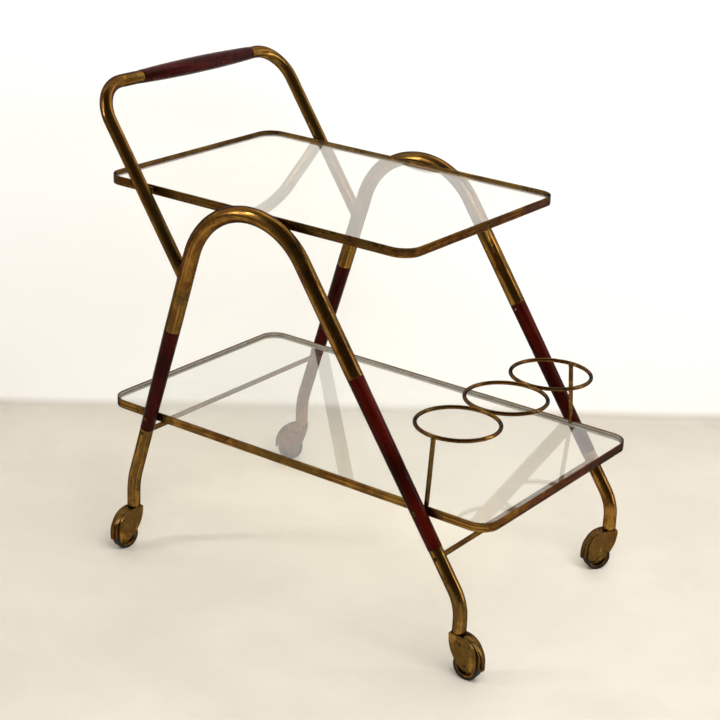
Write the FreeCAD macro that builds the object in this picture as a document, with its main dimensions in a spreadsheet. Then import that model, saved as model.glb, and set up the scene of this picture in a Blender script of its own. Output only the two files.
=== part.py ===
import FreeCAD, Part
import math
import os
import re
import Sketcher

V = FreeCAD.Vector

# A two-tier dessert trolley.  +X is the way it is pushed, with the bottle rings at the front, +Y is
# its left and +Z is up.  The wheels stand on z = 0, and the origin is under the middle of the whole
# object with its casters turned as the headings below say.
# Driving dimensions, in millimetres and degrees.
SIZES = [
    ("centre_y", 15.2, "y of the trolley's middle plane"),
    ("track", 435.8, "between the middle planes of the two side frames"),

    ("tube_od", 25.0, "arch tube, outside"),
    ("tube_wall", 1.5, "arch tube, wall"),
    ("arch_x", -61.0, "x of the arch's highest point"),
    ("arch_top", 599.0, "height of the arch's centre line"),
    ("arch_radius", 115.7, "bend over the top, on the centre line"),
    ("rear_lean", 16.28, "rear leg, from upright"),
    ("front_lean", 34.64, "front leg, from upright"),

    ("rear_wood_top", 387.5, "height where rear tube meets wood"),
    ("rear_wood_base", 210.5, "height where rear wood meets foot"),
    ("front_wood_top", 401.5, "height where front tube meets wood"),
    ("front_wood_base", 183.0, "height where front wood meets foot"),
    ("wood_top_od", 25.0, "turned leg at its upper shoulder"),
    ("wood_base_od", 22.0, "turned leg at its lower shoulder"),
    ("wood_edge", 0.8, "eased edge at each shoulder"),
    ("tenon_top", 25.0, "upper tenon's length"),
    ("tenon_base", 22.0, "lower tenon's length"),
    ("tenon_gap", 0.1, "clearance round each tenon"),

    ("foot_od", 21.0, "foot tube, outside"),
    ("foot_wall", 1.5, "foot tube, wall"),
    ("foot_end", 69.0, "height of the foot tube's lower end"),
    ("rear_knee", 111.89, "height where the rear foot turns upright"),
    ("front_knee", 112.22, "height where the front foot turns upright"),
    ("rear_bend_radius", 140.0, "bend of the rear foot"),
    ("front_bend_radius", 75.0, "bend of the front foot"),

    ("handle_od", 20.0, "handle tube, outside"),
    ("handle_wall", 1.5, "handle tube, wall"),
    ("handle_lean", 35.0, "handle arm, from upright"),
    ("handle_root", 474.0, "height where the arm meets the rear leg"),
    ("handle_radius", 58.0, "corner of the handle, on the centre line"),
    ("grip_height", 736.0, "height of the grip's centre line"),
    ("grip_run_right", 42.9, "straight tube from the right corner to the grip"),
    ("grip_run_left", 13.9, "straight tube from the left corner to the grip"),
    ("grip_end_od", 21.0, "grip at its ends"),
    ("grip_mid_od", 26.5, "grip at its fattest"),
    ("grip_tenon", 12.0, "grip tenon's length"),

    ("upper_rear_x", -364.0, "rear edge of the upper tray"),
    ("upper_length", 567.0, "upper tray, front to rear"),
    ("upper_rim", 600.0, "height of the upper tray's rim"),
    ("stud_length", 5.4, "space between upper tray and arch tube"),
    ("lower_rear_x", -351.9, "rear edge of the lower tray"),
    ("lower_length", 715.5, "lower tray, front to rear"),
    ("lower_rim", 237.0, "height of the lower tray's rim"),
    ("leg_flat", 0.2, "flat on each leg for the lower tray"),
    ("tray_corner", 30.0, "outer corner radius of both trays"),
    ("band_height", 14.0, "height of the band round each tray"),
    ("band_wall", 2.0, "thickness of that band"),
    ("ledge_width", 4.0, "ledge that carries the glass"),
    ("ledge_depth", 1.5, "thickness of that ledge"),
    ("glass_depth", 5.0, "thickness of the glass"),
    ("glass_drop", 4.0, "rim's height above the glass"),
    ("glass_gap", 0.5, "clearance round the glass"),
    ("glass_edge", 0.6, "ground edge of the glass"),

    ("stud_od", 10.0, "stud between upper tray and tube"),
    ("shank_od", 5.0, "riveted end of that stud"),
    ("screw_od", 4.0, "screws through the legs"),
    ("screw_gap", 0.1, "clearance round screws and shanks"),
    ("screw_head_od", 7.4, "screw head"),
    ("screw_head", 1.9, "height of the screw head"),
    ("screw_brim", 0.4, "straight edge of the screw head"),
    ("seat_depth", 0.5, "flat under a screw head"),
    ("seat_gap", 0.2, "clearance round a sunk screw head"),
    ("screw_bite", 10.0, "length of screw in a cross bar's end"),
    ("bar_od", 8.0, "cross bar"),
    ("rear_bar_drop", 5.6, "rear cross bar below the rear wood"),
    ("front_bar_drop", 10.8, "front cross bar below the front wood"),

    ("ring_x", 255.7, "x of the bottle rings' centres"),
    ("ring_z", 337.6, "height of the bottle rings"),
    ("ring_radius", 61.8, "bottle ring, on its centre line"),
    ("ring_rod", 6.2, "rod of the bottle rings"),
    ("ring_seat", 0.25, "flat on each ring where two meet"),
    ("post_od", 7.0, "post of the bottle rings"),
    ("post_foot_x", 258.0, "x of the post's foot"),
    ("post_seat", 1.0, "flat on the post against the band"),
    ("post_lap", 1.0, "post's end carried up round the ring"),
    ("post_lift", 2.2, "post's foot above the glass"),

    ("socket_depth", 18.0, "caster socket inside the foot tube"),
    ("socket_rim_od", 19.0, "rim of the socket below the tube"),
    ("socket_rim", 1.0, "depth of that rim"),
    ("press_gap", 0.03, "pressed and glued seats"),
    ("running_gap", 0.05, "clearance round stem and axle"),
    ("stem_od", 7.9, "stem in its socket"),
    ("stem_height", 16.0, "stem above the socket's rim"),
    ("stem_tip", 1.0, "chamfer at the stem's top"),
    ("stem_root_od", 6.0, "stem in the hood"),
    ("stem_root", 9.0, "length of stem in the hood"),
    ("stem_rest", 0.5, "space under the stem in the hood"),
    ("collar_od", 13.0, "thrust collar of the stem"),
    ("collar_gap", 0.3, "between thrust collar and socket"),
    ("hood_top", 67.0, "height of the hood's flat top"),
    ("hood_nose", 11.0, "hood ahead of the swivel"),
    ("hood_front_radius", 56.0, "curve of the hood's front edge"),
    ("hood_shoulder", 8.0, "start of the back curve behind the swivel"),
    ("cheek_radius", 30.0, "back curve of the cheeks"),
    ("rib_radius", 35.0, "back curve of the broad rib"),
    ("crest_radius", 37.0, "back curve of the crest"),
    ("rib_width", 14.0, "broad rib over the wheel"),
    ("crest_width", 8.0, "crest on that rib"),
    ("rib_low", 24.0, "height of the broad rib's tail"),
    ("crest_low", 21.0, "height of the crest's tail"),
    ("toe_x", 15.0, "front of the cheek's lower edge"),
    ("toe_low", 16.0, "height of that corner"),
    ("heel_x", 31.0, "back of the cheek's lower edge"),
    ("heel_low", 18.0, "height of that corner"),
    ("heel_radius", 9.0, "round from the lower edge to the back"),
    ("heel_rise", 9.0, "height of that round"),
    ("cheek_wall", 1.4, "cheek plate"),
    ("cheek_gap", 0.35, "between cheek and hub"),
    ("trail", 18.0, "axle behind the swivel"),
    ("wheel_od", 42.0, "wheel over its tyre"),
    ("wheel_gap", 1.5, "hood's clearance round the tyre"),
    ("tyre_width", 15.0, "tyre"),
    ("tyre_round", 2.0, "round of the tyre's shoulders"),
    ("rim_od", 34.0, "wheel rim under the tyre"),
    ("rim_width", 13.6, "wheel rim"),
    ("rim_wall", 3.0, "thickness of the wheel rim"),
    ("web_width", 6.0, "web of the wheel"),
    ("hub_width", 16.4, "length of the wheel's hub"),
    ("hub_od", 13.0, "wheel's hub"),
    ("axle_od", 4.9, "axle pin"),
    ("axle_head_od", 8.0, "riveted head of the axle pin"),
    ("axle_head", 1.0, "height of that head"),
    ("axle_brim", 0.3, "straight edge of that head"),

    ("front_right_heading", -1.5, "trail of each caster, about +Z from +X"),
    ("front_left_heading", -124.0, "the same"),
    ("rear_right_heading", -97.0, "the same"),
    ("rear_left_heading", -150.0, "the same"),
]

doc = FreeCAD.newDocument("dessert_trolley")
sheet = doc.addObject("Spreadsheet::Sheet", "Sizes")
for row, (name, value, note) in enumerate(SIZES, 1):
    sheet.set("A%d" % row, name)
    sheet.set("B%d" % row, str(value))
    sheet.setAlias("B%d" % row, name)
    sheet.set("C%d" % row, note)
doc.recompute()

ENDS = {"rear": -1, "front": 1}
SIDES = {"right": -1, "left": 1}
UP = V(0, 0, 1)
NAMES = {name for name, value, note in SIZES}
nodes = []
pipes = []


# ---------------------------------------------------------------- sizes and expressions
def link(expression):
    # The same expression with each size's name given its place in the sheet.
    def in_sheet(found):
        return "Sizes." + found.group() if found.group() in NAMES else found.group()
    return re.sub("[a-z][a-z_]+", in_sheet, expression)


def worth(expression):
    found = sheet.evalExpression(link(expression))
    return float(getattr(found, "Value", found))


def side_line(side):
    return "(centre_y %s track / 2)" % ("+" if SIDES[side] > 0 else "-")


def leg_line(end, height):
    # x of a leg's centre line at a height below the bend: a line tangent to the bend.
    tilt = end + "_lean * 1deg"
    sign = "+" if ENDS[end] > 0 else "-"
    fall = "(arch_top - arch_radius + arch_radius * sin(%s) - (%s))" % (tilt, height)
    return "(arch_x %s (arch_radius * cos(%s) + %s * tan(%s)))" % (sign, tilt, fall, tilt)


def swivel_x(end):
    return leg_line(end, end + "_knee")


def leg_up(end):
    # Unit vector up a leg's centre line.
    tilt = math.radians(worth(end + "_lean"))
    return V(-ENDS[end] * math.sin(tilt), 0, math.cos(tilt))


def arm_line(height):
    # x of a handle arm's centre line at a height below its corner.
    return "(%s - (%s - handle_root) * tan(handle_lean * 1deg))" % (leg_line("rear", "handle_root"), height)


def wood_od(end, height):
    # Diameter of a leg's straight taper at a height.
    low, high = end + "_wood_base", end + "_wood_top"
    share = "((%s - %s) / (%s - %s))" % (height, low, high, low)
    return "(wood_base_od + %s * (wood_top_od - wood_base_od))" % share


def cap_radius(across, height):
    # Radius of the sphere whose cap has this diameter and height.
    return "((%s * %s / 4 + %s * %s) / (2 * %s))" % (across, across, height, height, height)


UPPER_HALF = "(track / 2 - tube_od / 2 - stud_length)"
LOWER_HALF = "(track / 2 - wood_base_od / 2 + leg_flat)"
UPPER_MID = "(upper_rim - band_height / 2)"
LOWER_MID = "(lower_rim - band_height / 2)"
LOWER_GLASS_TOP = "(lower_rim - glass_drop)"
RING_PITCH = "(2 * ring_radius + ring_rod - 2 * ring_seat)"
GRIP_LENGTH = "(track - 2 * handle_radius - grip_run_right - grip_run_left)"
FORK_WIDTH = "(hub_width + 2 * cheek_gap)"
HOOD_WIDTH = "(%s + 2 * cheek_wall)" % FORK_WIDTH
HOLE = "(screw_od + 2 * screw_gap)"
HEAD_SEAT = "(screw_head_od + 2 * seat_gap)"


def spot(x, y, z):
    return V(worth(x), worth(y), worth(z))


# ---------------------------------------------------------------- sketches and features
def new_body(label):
    body = doc.addObject("PartDesign::Body", label)
    body.Label = label
    return body


def sketch_on(body, role, name, lift=None):
    sketch = body.newObject("Sketcher::SketchObject", name)
    plane = next(item for item in body.Origin.OriginFeatures if item.Role == role)
    sketch.AttachmentSupport = [(plane, "")]
    sketch.MapMode = "FlatFace"
    if lift:
        sketch.setExpression("AttachmentOffset.Base.z", link(lift))
    return sketch


def bind(sketch, kind, where, expression):
    index = sketch.addConstraint(Sketcher.Constraint(kind, *where, worth(expression)))
    sketch.setExpression("Constraints[%d]" % index, link(expression))


def pin(sketch, geo, vertex, along, across):
    # Holds one vertex at two distances from the sketch's origin.
    for kind, axis, expression in (("DistanceX", -2, along), ("DistanceY", -1, across)):
        if expression == "0":
            sketch.addConstraint(Sketcher.Constraint("PointOnObject", geo, vertex, axis))
        else:
            bind(sketch, kind, (-1, 1, geo, vertex), expression)


def circle(sketch, along, across, diameter):
    centre = V(worth(along), worth(across), 0)
    geo = sketch.addGeometry(Part.Circle(centre, UP, worth(diameter) / 2))
    pin(sketch, geo, 3, along, across)
    bind(sketch, "Diameter", (geo,), diameter)


def outline(sketch, corners, arcs=None):
    # A closed outline that runs anticlockwise through corners given as pairs of expressions.
    # arcs gives the radius of each side that bulges outward, by the number of its first corner.
    arcs = arcs or {}
    spots = [V(worth(along), worth(across), 0) for along, across in corners]
    ends = []
    for i, here in enumerate(spots):
        there = spots[(i + 1) % len(spots)]
        if i in arcs:
            radius = worth(arcs[i])
            half = (there - here).Length / 2
            sag = radius - math.sqrt(radius ** 2 - half ** 2)
            outward = V(there.y - here.y, here.x - there.x, 0).normalize()
            sketch.addGeometry(Part.Arc(here, (here + there) / 2 + outward * sag, there))
        else:
            sketch.addGeometry(Part.LineSegment(here, there))
        starts_here = (sketch.Geometry[i].StartPoint - here).Length < 1e-6
        ends.append((1, 2) if starts_here else (2, 1))
    for i in range(len(spots)):
        j = (i + 1) % len(spots)
        sketch.addConstraint(Sketcher.Constraint("Coincident", i, ends[i][1], j, ends[j][0]))
    for i, (along, across) in enumerate(corners):
        pin(sketch, i, ends[i][0], along, across)
    for i, radius in arcs.items():
        bind(sketch, "Radius", (i,), radius)


def rounded_rectangle(sketch, start, stop, half, radius):
    # From start to stop along the sketch's X, the same half width to each side.
    first = sketch.GeometryCount
    a, b, w, r = (worth(value) for value in (start, stop, half, radius))
    spots = [(a + r, -w), (b - r, -w), (b, r - w), (b, w - r), (b - r, w), (a + r, w), (a, w - r), (a, r - w)]
    centres = [(b - r, r - w, 3), (b - r, w - r, 0), (a + r, w - r, 1), (a + r, r - w, 2)]
    for i, (x, y, turn) in enumerate(centres):
        here, there = spots[2 * i], spots[2 * i + 1]
        sketch.addGeometry(Part.LineSegment(V(*here, 0), V(*there, 0)))
        corner = Part.Circle(V(x, y, 0), UP, r)
        sketch.addGeometry(Part.ArcOfCircle(corner, turn * math.pi / 2, (turn + 1) * math.pi / 2))
    for i in range(8):
        sketch.addConstraint(Sketcher.Constraint("Tangent", first + i, 2, first + (i + 1) % 8, 1))
    for i in (0, 4):
        sketch.addConstraint(Sketcher.Constraint("Horizontal", first + i))
    for i in (2, 6):
        sketch.addConstraint(Sketcher.Constraint("Vertical", first + i))
    for i in (3, 5):
        sketch.addConstraint(Sketcher.Constraint("Equal", first + 1, first + i))
    bind(sketch, "Radius", (first + 1,), radius)
    bind(sketch, "DistanceX", (-1, 1, first + 6, 1), start)
    bind(sketch, "DistanceX", (-1, 1, first + 2, 1), stop)
    bind(sketch, "DistanceY", (-1, 1, first + 4, 1), half)
    bind(sketch, "DistanceY", (first, 1, -1, 1), half)


def extrude(body, kind, sketch, length, middle=False, reverse=False):
    feature = body.newObject("PartDesign::" + kind, sketch.Name + "_" + kind.lower())
    feature.Profile = sketch
    feature.setExpression("Length", link(length))
    feature.Reversed = reverse
    if middle:
        feature.SideType = "Symmetric"
    return feature


def turned(label, corners, arcs=None):
    # A piece turned about its own Z axis; corners are (radius, height).
    body = new_body(label)
    profile = sketch_on(body, "XZ_Plane", label + "_profile")
    outline(profile, corners, arcs)
    feature = body.newObject("PartDesign::Revolution", label + "_turned")
    feature.Profile = profile
    feature.ReferenceAxis = (profile, ["V_Axis"])
    return body


def piped(body, spine, diameter, wall):
    # A tube along the drawn centre line, its section square to the line's start.
    section = body.newObject("Sketcher::SketchObject", body.Name + "_section")
    section.AttachmentSupport = [(spine, "Edge1")]
    section.MapMode = "NormalToEdge"
    section.MapPathParameter = 0
    circle(section, "0", "0", diameter)
    circle(section, "0", "0", "%s - 2 * %s" % (diameter, wall))
    pipe = body.newObject("PartDesign::AdditivePipe", body.Name + "_pipe")
    pipe.Profile = section
    pipe.Spine = spine
    pipes.append((pipe, spine, worth(diameter), worth(wall)))


def bent_line(sketch, before, corner, after, radius):
    # Centre line of a tube with one bend: straight, arc, straight, from before to after.
    inward = (corner - before).normalize()
    onward = (after - corner).normalize()
    reach = worth(radius) * math.tan(inward.getAngle(onward) / 2)
    touch = corner - inward * reach
    leave = corner + onward * reach
    middle = touch + (onward - inward * inward.dot(onward)).normalize() * worth(radius)
    leftward = inward.cross(onward).z > 0
    first, last = (touch, leave) if leftward else (leave, touch)
    angles = [math.atan2(end.y - middle.y, end.x - middle.x) for end in (first, last)]
    if angles[1] < angles[0]:
        angles[1] += 2 * math.pi
    sketch.addGeometry(Part.LineSegment(before, touch))
    sketch.addGeometry(Part.ArcOfCircle(Part.Circle(middle, UP, worth(radius)), *angles))
    sketch.addGeometry(Part.LineSegment(leave, after))
    sketch.addConstraint(Sketcher.Constraint("Tangent", 0, 2, 1, 1 if leftward else 2))
    sketch.addConstraint(Sketcher.Constraint("Tangent", 1, 2 if leftward else 1, 2, 1))
    bind(sketch, "Radius", (1,), radius)


def solid_block(label, low, high):
    box = doc.addObject("Part::Box", label)
    box.Length, box.Width, box.Height = high - low
    box.Placement.Base = low
    return box


def rod(label, start, stop, diameter):
    result = doc.addObject("Part::Cylinder", label)
    result.setExpression("Radius", link("(%s) / 2" % diameter))
    result.Height = (stop - start).Length
    result.Placement = FreeCAD.Placement(start, FreeCAD.Rotation(UP, stop - start))
    return result


def across(label, x, z, start, stop, diameter):
    # A rod along Y.
    return rod(label, spot(x, start, z), spot(x, stop, z), diameter)


def cut(label, base, tools):
    tool = tools[0]
    if len(tools) > 1:
        tool = doc.addObject("Part::MultiFuse", label + "_tools")
        tool.Shapes = tools
    result = doc.addObject("Part::Cut", label + "_cut")
    result.Base = base
    result.Tool = tool
    base.Label = label + "_blank"
    result.Label = label
    return result


def aim(item, point, direction):
    # Stands a piece at a point with its own Z axis along a direction.
    item.Placement = FreeCAD.Placement(point, FreeCAD.Rotation(UP, direction))


def keep(item):
    nodes.append(item)


# ---------------------------------------------------------------- side frames
def arch_tube(side):
    # One tube goes up the rear leg, over the top in a single bend, and down the front leg.
    label = "arch_tube_" + side
    body = new_body(label)
    line = sketch_on(body, "XZ_Plane", label + "_line")
    radius = worth("arch_radius")
    middle = V(worth("arch_x"), worth("arch_top") - radius, 0)
    tilts = {end: math.radians(worth(end + "_lean")) for end in ENDS}
    feet = {}
    for end in ENDS:
        height = end + "_wood_top"
        feet[end] = V(worth(leg_line(end, height)), worth(height), 0)
    bend = Part.ArcOfCircle(Part.Circle(middle, UP, radius), tilts["front"], math.pi - tilts["rear"])
    line.addGeometry(Part.LineSegment(feet["rear"], bend.EndPoint))
    line.addGeometry(bend)
    line.addGeometry(Part.LineSegment(bend.StartPoint, feet["front"]))
    line.addConstraint(Sketcher.Constraint("Tangent", 0, 2, 1, 2))
    line.addConstraint(Sketcher.Constraint("Tangent", 1, 1, 2, 1))
    bind(line, "Radius", (1,), "arch_radius")
    pin(line, 1, 3, "arch_x", "arch_top - arch_radius")
    pin(line, 0, 1, leg_line("rear", "rear_wood_top"), "rear_wood_top")
    pin(line, 2, 2, leg_line("front", "front_wood_top"), "front_wood_top")
    piped(body, line, "tube_od", "tube_wall")
    body.setExpression("Placement.Base.y", link(side_line(side)))
    keep(body)


def bar_height(end):
    return "(%s_wood_base - %s_bar_drop)" % (end, end)


def bar_x(end):
    return leg_line(end, bar_height(end))


def leg_wood(end, side):
    # A turned leg with a straight taper, a tenon at each end, a flat against the lower tray and
    # cross holes for its two screws.
    label = "leg_wood_%s_%s" % (end, side)
    length = "((%s_wood_top - %s_wood_base) / cos(%s_lean * 1deg))" % (end, end, end)
    tenon_top = "(tube_od / 2 - tube_wall - tenon_gap)"
    tenon_base = "(foot_od / 2 - foot_wall - tenon_gap)"
    leg = turned(label, [
        ("0", "-tenon_base"),
        (tenon_base, "-tenon_base"),
        (tenon_base, "0"),
        ("wood_base_od / 2 - wood_edge", "0"),
        ("wood_base_od / 2", "wood_edge"),
        ("wood_top_od / 2", length + " - wood_edge"),
        ("wood_top_od / 2 - wood_edge", length),
        (tenon_top, length),
        (tenon_top, length + " + tenon_top"),
        ("0", length + " + tenon_top"),
    ])
    height = end + "_wood_base"
    aim(leg, spot(leg_line(end, height), side_line(side), height), leg_up(end))

    out = "+" if SIDES[side] > 0 else "-"
    tray_x = leg_line(end, LOWER_MID)
    face = "(centre_y %s %s)" % (out, LOWER_HALF)
    beyond = "(%s %s tube_od)" % (side_line(side), out)
    inside = "(%s %s -tube_od)" % (side_line(side), out)
    seat = tray_seat(end, side)
    low = spot(tray_x + " - tube_od", face, LOWER_MID + " - tube_od")
    high = spot(tray_x + " + tube_od", inside, LOWER_MID + " + tube_od")
    flat_low = V(low.x, min(low.y, high.y), low.z)
    flat_high = V(high.x, max(low.y, high.y), high.z)
    keep(cut(label, leg, [
        solid_block(label + "_flat", flat_low, flat_high),
        across(label + "_hole", tray_x, LOWER_MID, inside, beyond, HOLE),
        across(label + "_seat", tray_x, LOWER_MID, seat, beyond, HEAD_SEAT),
        across(label + "_pin", bar_x(end), bar_height(end), inside, beyond, HOLE),
    ]))


def tray_seat(end, side):
    # Where the head of a lower tray's screw sits: on a flat in the leg's outer side.
    out = "+" if SIDES[side] > 0 else "-"
    return "(%s %s (%s / 2 - seat_depth))" % (side_line(side), out, wood_od(end, LOWER_MID))


def bar_seat(side):
    out = "+" if SIDES[side] > 0 else "-"
    return "(%s %s (foot_od / 2 - seat_depth))" % (side_line(side), out)


def foot_tube(end, side):
    # A tube that carries on in line with the leg and bends to stand upright over its caster.
    label = "foot_tube_%s_%s" % (end, side)
    body = new_body(label)
    line = sketch_on(body, "XZ_Plane", label + "_line")
    base = end + "_wood_base"
    knee = end + "_knee"
    start = V(worth(leg_line(end, base)), worth(base), 0)
    corner = V(worth(swivel_x(end)), worth(knee), 0)
    bent_line(line, start, corner, V(corner.x, worth("foot_end"), 0), end + "_bend_radius")
    line.addConstraint(Sketcher.Constraint("Vertical", 2))
    pin(line, 0, 1, leg_line(end, base), base)
    pin(line, 2, 2, swivel_x(end), "foot_end")
    # The knee, where both straights would meet, keeps the tube in line with the leg.
    guide = line.addGeometry(Part.Point(corner), True)
    pin(line, guide, 1, swivel_x(end), knee)
    line.addConstraint(Sketcher.Constraint("PointOnObject", guide, 1, 0))
    piped(body, line, "foot_od", "foot_wall")
    body.setExpression("Placement.Base.y", link(side_line(side)))

    out = "+" if SIDES[side] > 0 else "-"
    beyond = "(%s %s foot_od)" % (side_line(side), out)
    inside = "(%s %s -foot_od)" % (side_line(side), out)
    keep(cut(label, body, [
        across(label + "_hole", bar_x(end), bar_height(end), inside, beyond, HOLE),
        across(label + "_seat", bar_x(end), bar_height(end), bar_seat(side), beyond, HEAD_SEAT),
    ]))


def dome_screw(label, x, z, seat, tip, side):
    # A plain screw with a low domed head; its own Z axis points outward.
    reach = abs(worth(seat) - worth(tip))
    length = "(%s - %s)" % ((seat, tip) if SIDES[side] > 0 else (tip, seat))
    screw = turned(label, [
        ("0", "-" + length),
        ("screw_od / 2", "-" + length),
        ("screw_od / 2", "0"),
        ("screw_head_od / 2", "0"),
        ("screw_head_od / 2", "screw_brim"),
        ("0", "screw_head"),
    ], {4: cap_radius("screw_head_od", "(screw_head - screw_brim)")})
    aim(screw, spot(x, seat, z), V(0, SIDES[side], 0))
    keep(screw)


def crossbar(end):
    # A rod between the two foot tubes, its ends hollowed to fit round them and drilled for screws.
    label = end + "_crossbar"
    bar = across(label, bar_x(end), bar_height(end), side_line("right"), side_line("left"), "bar_od")
    tools = []
    for side in SIDES:
        back = "-" if SIDES[side] > 0 else "+"
        tip = "(%s %s (foot_od / 2 + screw_bite))" % (side_line(side), back)
        here = spot(bar_x(end), side_line(side), bar_height(end))
        run = leg_up(end) * worth("foot_od + bar_od")
        tools.append(rod("%s_cope_%s" % (label, side), here - run, here + run, "foot_od"))
        name = "%s_tap_%s" % (label, side)
        tools.append(across(name, bar_x(end), bar_height(end), side_line(side), tip, "screw_od"))
        dome_screw("bar_screw_%s_%s" % (end, side), bar_x(end), bar_height(end), bar_seat(side), tip, side)
    keep(cut(label, bar, tools))


# ---------------------------------------------------------------- handle
def handle_arm(side):
    # A tube that rises from the rear leg, turns its corner towards the middle and ends at the grip.
    label = "handle_arm_" + side
    body = new_body(label)
    line = sketch_on(body, "XY_Plane", label + "_line")
    rise = "((grip_height - handle_root) / cos(handle_lean * 1deg))"
    toward = -SIDES[side]
    inward = "(handle_radius + grip_run_%s)" % side
    corner = V(worth(rise), 0, 0)
    bent_line(line, V(0, 0, 0), corner, V(corner.x, worth(inward), 0), "handle_radius")
    line.addConstraint(Sketcher.Constraint("Coincident", 0, 1, -1, 1))
    line.addConstraint(Sketcher.Constraint("Horizontal", 0))
    line.addConstraint(Sketcher.Constraint("Vertical", 2))
    pin(line, 2, 2, rise, inward)
    piped(body, line, "handle_od", "handle_wall")
    tilt = math.radians(worth("handle_lean"))
    up_arm = V(-math.sin(tilt), 0, math.cos(tilt))
    root = spot(leg_line("rear", "handle_root"), side_line(side), "handle_root")
    turn = FreeCAD.Rotation(up_arm, V(0, toward, 0), V(0, 0, 0), "XYZ")
    body.Placement = FreeCAD.Placement(root, turn)
    run = leg_up("rear") * worth("handle_od + tube_od")
    keep(cut(label, body, [rod(label + "_cope", root - run, root + run, "tube_od")]))


def handle_grip():
    # Barrel-shaped wooden grip with a tenon in each arm.
    bulge = "((grip_mid_od - grip_end_od) / 2)"
    half = "(%s / 2 - wood_edge)" % GRIP_LENGTH
    tenon = "(handle_od / 2 - handle_wall - tenon_gap)"
    grip = turned("handle_grip", [
        ("0", "-grip_tenon"),
        (tenon, "-grip_tenon"),
        (tenon, "0"),
        ("grip_end_od / 2 - wood_edge", "0"),
        ("grip_end_od / 2", "wood_edge"),
        ("grip_end_od / 2", GRIP_LENGTH + " - wood_edge"),
        ("grip_end_od / 2 - wood_edge", GRIP_LENGTH),
        (tenon, GRIP_LENGTH),
        (tenon, GRIP_LENGTH + " + grip_tenon"),
        ("0", GRIP_LENGTH + " + grip_tenon"),
    ], {4: "(%s * %s + %s * %s) / (2 * %s)" % (half, half, bulge, bulge, bulge)})
    start_y = side_line("right") + " + handle_radius + grip_run_right"
    aim(grip, spot(arm_line("grip_height"), start_y, "grip_height"), V(0, 1, 0))
    keep(grip)


# ---------------------------------------------------------------- trays
def tray_frame(label, start, length, half, rim, holes):
    # A flat band bent to a rounded rectangle, with a narrow ledge inside to carry the glass.
    body = new_body(label)
    stop = "%s + %s" % (start, length)
    band = sketch_on(body, "XY_Plane", label + "_plan", rim + " - band_height")
    rounded_rectangle(band, start, stop, half, "tray_corner")
    inset = "band_wall"
    rounded_rectangle(band, start + " + " + inset, stop + " - " + inset, half + " - " + inset,
                      "tray_corner - " + inset)
    extrude(body, "Pad", band, "band_height")
    ledge = sketch_on(body, "XY_Plane", label + "_ledge", rim + " - glass_drop - glass_depth - ledge_depth")
    for inset in ("band_wall / 2", "band_wall + ledge_width"):
        rounded_rectangle(ledge, "%s + %s" % (start, inset), "%s - (%s)" % (stop, inset),
                          "%s - (%s)" % (half, inset), "tray_corner - (%s)" % inset)
    extrude(body, "Pad", ledge, "ledge_depth")
    body.setExpression("Placement.Base.y", link("centre_y"))
    keep(cut(label, body, holes))


def glass_sheet(label, start, length, half, rim):
    body = new_body(label)
    plan = sketch_on(body, "XY_Plane", label + "_plan", rim + " - glass_drop - glass_depth")
    inset = "(band_wall + glass_gap)"
    rounded_rectangle(plan, "%s + %s" % (start, inset), "%s + %s - %s" % (start, length, inset),
                      "%s - %s" % (half, inset), "tray_corner - %s" % inset)
    sheet_pad = extrude(body, "Pad", plan, "glass_depth")
    doc.recompute()
    edges = []
    for number, edge in enumerate(sheet_pad.Shape.Edges, 1):
        if edge.BoundBox.ZLength < 1e-6:
            edges.append("Edge%d" % number)
    chamfer = body.newObject("PartDesign::Chamfer", label + "_ground_edge")
    chamfer.Base = (sheet_pad, edges)
    chamfer.setExpression("Size", link("glass_edge"))
    body.setExpression("Placement.Base.y", link("centre_y"))
    keep(body)


def tray_stud(end, side):
    # A brass stud: its shank is riveted flush in the band, its other end is hollowed to the tube.
    label = "tray_stud_%s_%s" % (end, side)
    reach = "(track / 2 - %s)" % UPPER_HALF
    stud = turned(label, [
        ("0", "-band_wall"),
        ("shank_od / 2", "-band_wall"),
        ("shank_od / 2", "0"),
        ("stud_od / 2", "0"),
        ("stud_od / 2", reach),
        ("0", reach),
    ])
    out = "+" if SIDES[side] > 0 else "-"
    aim(stud, spot(stud_x(end), "centre_y %s %s" % (out, UPPER_HALF), UPPER_MID), V(0, SIDES[side], 0))
    if end == "front":
        tube = doc.addObject("Part::Torus", label + "_saddle")
        tube.setExpression("Radius1", "Sizes.arch_radius")
        tube.setExpression("Radius2", link("tube_od / 2"))
        aim(tube, spot("arch_x", side_line(side), "arch_top - arch_radius"), V(0, 1, 0))
    else:
        run = 2 * worth("stud_od + handle_od")
        tilt = math.radians(worth("handle_lean"))
        up_arm = V(-math.sin(tilt), 0, math.cos(tilt)) * run
        here = spot(stud_x(end), side_line(side), UPPER_MID)
        tube = rod(label + "_saddle", here - up_arm, here + up_arm, "handle_od")
    keep(cut(label, stud, [tube]))


def stud_x(end):
    # The front studs meet the arches at their tops, the rear ones meet the handle's arms.
    return "arch_x" if end == "front" else arm_line(UPPER_MID)


def through_band(label, x, half, height, diameter):
    # One hole across both long sides of a band.
    return across(label, x, height, "centre_y - %s - band_wall" % half,
                  "centre_y + %s + band_wall" % half, diameter)


# ---------------------------------------------------------------- bottle rings
def ring_place(side):
    return "(centre_y %s %s)" % ({"right": "- 1 *", "middle": "+ 0 *", "left": "+ 1 *"}[side], RING_PITCH)


def outer_ring_torus(label, side):
    ring = doc.addObject("Part::Torus", label)
    ring.setExpression("Radius1", "Sizes.ring_radius")
    ring.setExpression("Radius2", link("ring_rod / 2"))
    ring.Placement.Base = spot("ring_x", ring_place(side), "ring_z")
    return ring


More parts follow.
